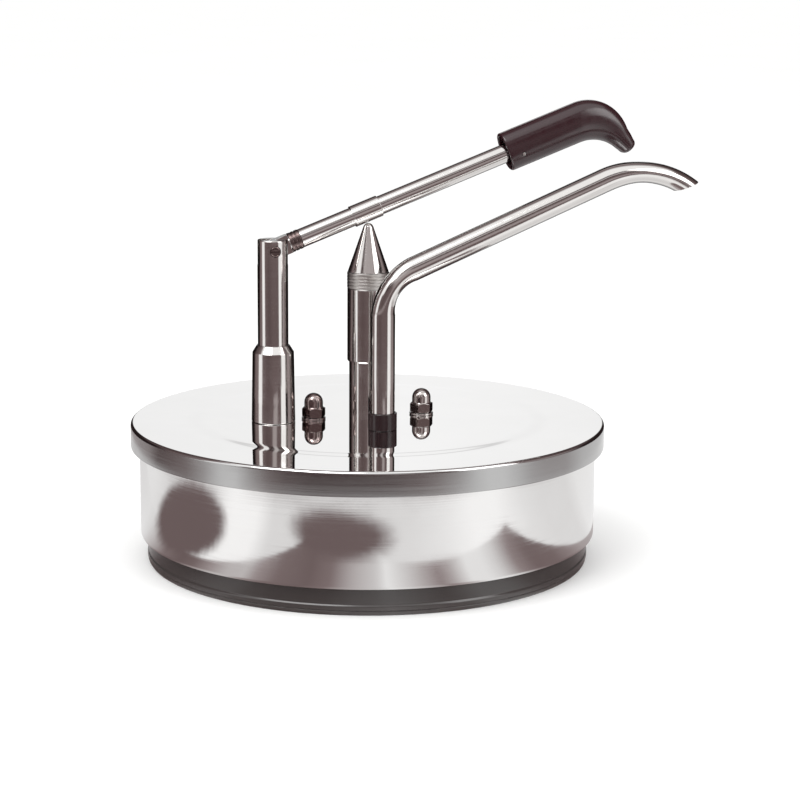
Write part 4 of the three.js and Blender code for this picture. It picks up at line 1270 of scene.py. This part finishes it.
make_pot()
make_base_ring()
make_lid()
for side in ("left", "right"):
    make_acorn_nut(side)
    make_washer(side)
    make_flange_bolt(side)
make_post_base()
make_pivot_post()
make_pivot_screw()
make_post_bolt()
make_neck_tube()
make_return_spring()
make_plunger_sleeve()
make_plunger_ring()
make_plunger_cone()
make_pump_cylinder()
make_flange("pump_flange", satin, 0.5 * MM, 8.3 * MM)
make_flange("flange_gasket", seal, 0.2 * MM, radius("neck_tube") + 0.4 * MM)
make_valve_body()
make_riser_nut()
make_lever_end()
make_lever_locknut()
make_lever_pipe("lever_tube", 1.0 * MM, 0.2 * MM)
make_lever_pipe("wear_sleeve", 0.6 * MM, 0.22 * MM)
make_grip()
make_spout()
make_collar()

# The nodes that stay as the CAD has them are inside the pump, and take their slot's finish.
for node, thing in frame["nodes"].items():
    thing.data.materials.clear()
    thing.data.materials.append(BY_SLOT[SLOT[node]])


# ---- floor, light and camera

AZIMUTH = radians(-14.4)
ELEVATION = radians(11.51)
DISTANCE = 1.3984
TARGET = Vector((0.0198, -0.0051, 0.1))
ROLL = radians(0.35)

# Brightness of the studio by direction round the object: 0.5 is towards the camera's side, and 0
# and 1 are behind the object. Two white screens stand either side of the front, and a white backdrop
# behind. LOW is what is seen at eye level, and HIGH is above it, up to the overhead light.
LOW = [
    (0.0, 0.93), (0.032, 0.87), (0.04, 0.013), (0.165, 0.015), (0.205, 0.15), (0.268, 0.2),
    (0.278, 1.0), (0.327, 1.0), (0.338, 0.13), (0.42, 0.09), (0.5, 0.12), (0.6, 0.12),
    (0.618, 0.1), (0.628, 1.0), (0.703, 1.0), (0.716, 0.3), (0.8, 0.24), (0.85, 0.015),
    (0.96, 0.013), (0.968, 0.85), (1.0, 0.95),
]
HIGH = [
    (0.0, 0.03), (0.2, 0.08), (0.27, 0.2), (0.285, 1.0), (0.36, 1.0), (0.38, 0.1),
    (0.4, 0.04), (0.6, 0.04), (0.625, 0.1), (0.64, 1.0), (0.7, 1.0), (0.72, 0.2),
    (0.8, 0.08), (1.0, 0.03),
]


def round_share(graph, right, away):
    """Where a direction points round the object, from 0 through 0.5 at the camera's side to 1."""
    turn = graph.math("ARCTAN2", right, graph.product(away, -1.0))
    return graph.math("ADD", graph.math("DIVIDE", turn, 2 * pi), 0.5)


def sine(degrees):
    return sin(radians(degrees))


def make_world():
    world = bpy.data.worlds.new("studio")
    world.use_nodes = True
    bpy.context.scene.world = world
    graph = Graph(world.node_tree)
    direction = graph.add("ShaderNodeTexCoord").outputs["Generated"]
    right, away, up = split(graph, graph.scaled(direction, (1, 1, 1), -AZIMUTH))
    share = round_share(graph, right, away)
    above = graph.between(up, sine(18), sine(22))
    studio = graph.mix(above, graph.ramp(share, LOW), graph.ramp(share, HIGH))
    backdrop = graph.product(above, graph.between(away, 0.86, 0.9))
    studio = graph.mix(backdrop, studio, graph.ramp(share, LOW))
    # A pale window leans across the front: low on the right, and high in the middle.
    middle = graph.math("SUBTRACT", 0.45, graph.product(up, 1.2))
    off = graph.math("ABSOLUTE", graph.math("SUBTRACT", right, middle))
    window = graph.product(
        graph.between(off, 0.26, 0.1),
        graph.between(away, -0.5, -0.7),
        graph.between(up, sine(30), sine(26)),
    )
    glow = graph.ramp(up, [(0.0, 0.34), (0.25, 0.36), (0.42, 0.55)])
    studio = graph.mix(window, studio, glow)
    # A second window stands higher up, in the middle of the front.
    off = graph.math("ABSOLUTE", graph.math("SUBTRACT", right, 0.05))
    window = graph.product(
        graph.between(off, 0.6, 0.4),
        graph.between(away, -0.3, -0.5),
        graph.between(up, 0.4, 0.46),
        graph.between(up, 0.6, 0.54),
    )
    studio = graph.mix(window, studio, flat_grey(0.42))
    # Overhead is a light that leans back. It is white above the camera's side, dark just behind the
    # object and grey beyond that.
    tilted = graph.math("SUBTRACT", up, graph.product(away, 0.11))
    overhead = graph.between(tilted, 0.7, 0.78)
    ceiling = [(0.0, 1.0), (0.06, 0.7), (0.3, 0.14), (0.42, 0.16), (0.62, 0.5)]
    studio = graph.mix(overhead, studio, graph.ramp(away, ceiling))
    rays = graph.add("ShaderNodeLightPath")
    seen = graph.mix(rays.outputs["Is Glossy Ray"], (1.1, 1.1, 1.1, 1.0), studio)
    background = graph.add("ShaderNodeBackground")
    graph.feed(background.inputs["Color"], seen)
    background.inputs["Strength"].default_value = 1.0
    output = graph.add("ShaderNodeOutputWorld")
    graph.feed(output.inputs["Surface"], background.outputs[0])


def blob(graph, x, y, centre, half, edge, noise):
    """1 inside a soft oval on the floor and 0 outside it. half is its half width and half depth."""
    across = graph.math("DIVIDE", graph.math("SUBTRACT", x, centre[0]), half[0])
    along = graph.math("DIVIDE", graph.math("SUBTRACT", y, centre[1]), half[1])
    ragged = graph.math("ADD", graph.distance(across, along), graph.product(noise, edge))
    return graph.between(ragged, 1.0 + edge, 1.0)


# Brightness of the table, of the paper beyond it and of the ring of floor round the paper, by
# direction as above.
TABLE = [
    (0.0, 0.6), (0.2, 0.8), (0.22, 0.75), (0.25, 0.5), (0.28, 0.2), (0.31, 0.13), (0.33, 0.16),
    (0.35, 0.31), (0.37, 0.5), (0.388, 0.52), (0.4, 0.3), (0.42, 0.17), (0.45, 0.14), (0.47, 0.19),
    (0.49, 0.45), (0.51, 0.62), (0.52, 0.85), (0.54, 0.6), (0.55, 0.46), (0.568, 0.24), (0.58, 0.4),
    (0.598, 0.82), (0.615, 0.82), (0.63, 0.66), (0.65, 0.25), (0.67, 0.15), (0.7, 0.16),
    (0.725, 0.24), (0.75, 0.36), (0.8, 0.45), (1.0, 0.5),
]
PAPER = [
    (0.0, 0.8), (0.2, 0.82), (0.25, 0.72), (0.31, 0.76), (0.345, 1.0), (0.38, 1.0), (0.398, 0.77),
    (0.48, 0.73), (0.55, 0.78), (0.58, 0.86), (0.62, 1.0), (0.65, 1.0), (0.69, 0.83), (0.72, 0.77),
    (0.77, 0.76), (0.8, 0.86), (1.0, 0.86),
]
RING = [
    (0.0, 0.5), (0.19, 0.35), (0.22, 0.12), (0.25, 0.18), (0.28, 0.27), (0.305, 0.5), (0.33, 0.92),
    (0.35, 1.0), (0.37, 0.55), (0.39, 0.25), (0.41, 0.13), (0.44, 0.08), (0.5, 0.085), (0.53, 0.11),
    (0.56, 0.19), (0.58, 0.32), (0.6, 0.52), (0.62, 0.8), (0.64, 1.0), (0.66, 1.0), (0.68, 0.8),
    (0.7, 0.58), (0.73, 0.5), (0.76, 0.5), (0.8, 0.75), (1.0, 0.75),
]
TABLE_TURN = radians(21.4)
TABLE_LEFT = -0.213
TABLE_RIGHT = 0.181
TABLE_FRONT = -0.258


def make_floor():
    """A plain pale floor. What the polished steel mirrors in it is a studio's: a brown-grey table
    round the object, then cream paper, a ring of floor, and the dim walls."""
    half = 40.0
    thick = 0.05
    below = Matrix.Translation((0, 0, -0.02 * MM))
    floor = block("floor", (-half, -half, -thick), (half, half, 0.0), below)
    material = bpy.data.materials.new("floor_paper")
    material.use_nodes = True
    graph = Graph(material.node_tree)
    place = graph.object_place()
    x, y, _ = split(graph, graph.scaled(place, (1, 1, 1), -AZIMUTH))
    streaked = graph.scaled(place, (0.45, 1.7, 1.0), -AZIMUTH)
    noise = graph.noise(streaked, scale=55.0, detail=6.0, roughness=0.7)
    noise = graph.math("SUBTRACT", noise, 0.5)
    share = round_share(graph, x, y)
    # The table is a square turned against the camera.
    table_place = graph.scaled(place, (1, 1, 1), -AZIMUTH - TABLE_TURN)
    table_x, table_y, _ = split(graph, table_place)
    edge = 2 * MM
    inside = graph.product(
        graph.between(table_x, TABLE_LEFT - edge, TABLE_LEFT + edge),
        graph.between(table_x, TABLE_RIGHT + edge, TABLE_RIGHT - edge),
        graph.between(table_y, TABLE_FRONT - edge, TABLE_FRONT + edge),
    )
    pattern = graph.mix(inside, graph.ramp(share, PAPER), graph.ramp(share, TABLE))
    # Two dark things lie on the paper: a round one on the left, and a ragged one in front.
    round_thing = blob(graph, x, y, (-0.29, -0.068), (0.085, 0.092), 0.35, noise)
    pattern = graph.mix(round_thing, pattern, flat_grey(0.13))
    ragged_thing = blob(graph, x, y, (-0.055, -0.325), (0.078, 0.043), 0.8, noise)
    pattern = graph.mix(ragged_thing, pattern, flat_grey(0.13))
    # Behind the object the far floor is dark, so steel tubes keep dark outlines.
    behind = graph.between(y, 0.25, 0.5)
    walls = graph.mix(behind, graph.ramp(share, LOW), flat_grey(0.015))
    # The paper is an oval, and a ring of floor round it is what the lid's skirt mirrors.
    reach = graph.distance(graph.product(x, 1.08), y)
    pattern = graph.mix(graph.between(reach, 0.43, 0.455), pattern, graph.ramp(share, RING))
    pattern = graph.mix(graph.between(reach, 0.57, 0.62), pattern, walls)
    # Far off, in front of the object, the walls are an even grey.
    far = graph.between(graph.distance(x, y), 1.7, 2.6)
    strip = graph.product(graph.between(y, -1.2, -2.0), far)
    pattern = graph.mix(strip, pattern, flat_grey(0.27))
    mirrored = graph.add("ShaderNodeEmission")
    graph.feed(mirrored.inputs["Color"], pattern)
    paint = graph.add("ShaderNodeBsdfDiffuse")
    grain = graph.noise(place, 3.0, 3.0)
    pale = graph.mix(grain, (0.9, 0.9, 0.895, 1), (0.92, 0.92, 0.916, 1))
    graph.feed(paint.inputs["Color"], pale)
    rays = graph.add("ShaderNodeLightPath")
    chosen = graph.add("ShaderNodeMixShader")
    graph.feed(chosen.inputs[0], rays.outputs["Is Glossy Ray"])
    graph.feed(chosen.inputs[1], paint.outputs[0])
    graph.feed(chosen.inputs[2], mirrored.outputs[0])
    output = graph.add("ShaderNodeOutputMaterial")
    graph.feed(output.inputs["Surface"], chosen.outputs[0])
    floor.data.materials.append(material)


def add_softbox(name, place, aim, size, power):
    light = bpy.data.lights.new(name, "AREA")
    light.shape = "RECTANGLE"
    light.size, light.size_y = size
    light.energy = power
    lamp = bpy.data.objects.new(name, light)
    bpy.context.scene.collection.objects.link(lamp)
    lamp.location = place
    lamp.rotation_euler = (Vector(aim) - Vector(place)).to_track_quat("-Z", "Y").to_euler()
    return lamp


def make_camera():
    data = bpy.data.cameras.new("camera")
    data.sensor_width = 36.0
    data.lens = 99.0
    data.clip_end = 200.0
    camera = bpy.data.objects.new("camera", data)
    bpy.context.scene.collection.objects.link(camera)
    level = cos(ELEVATION)
    back = Vector((sin(AZIMUTH) * level, -cos(AZIMUTH) * level, sin(ELEVATION)))
    turn = (-back).to_track_quat("-Z", "Y").to_matrix().to_4x4()
    stand = Matrix.Translation(TARGET + back * DISTANCE)
    camera.matrix_world = stand @ turn @ Matrix.Rotation(ROLL, 4, "Z")
    bpy.context.scene.camera = camera


make_world()
make_floor()
make_camera()
add_softbox("key", (-0.7, -0.5, 1.3), (0, 0, 0.1), (0.9, 0.9), 9.0)
add_softbox("fill", (0.9, -0.9, 0.9), (0, 0, 0.1), (0.8, 0.8), 4.0)
bpy.context.scene.view_settings.view_transform = "Standard"
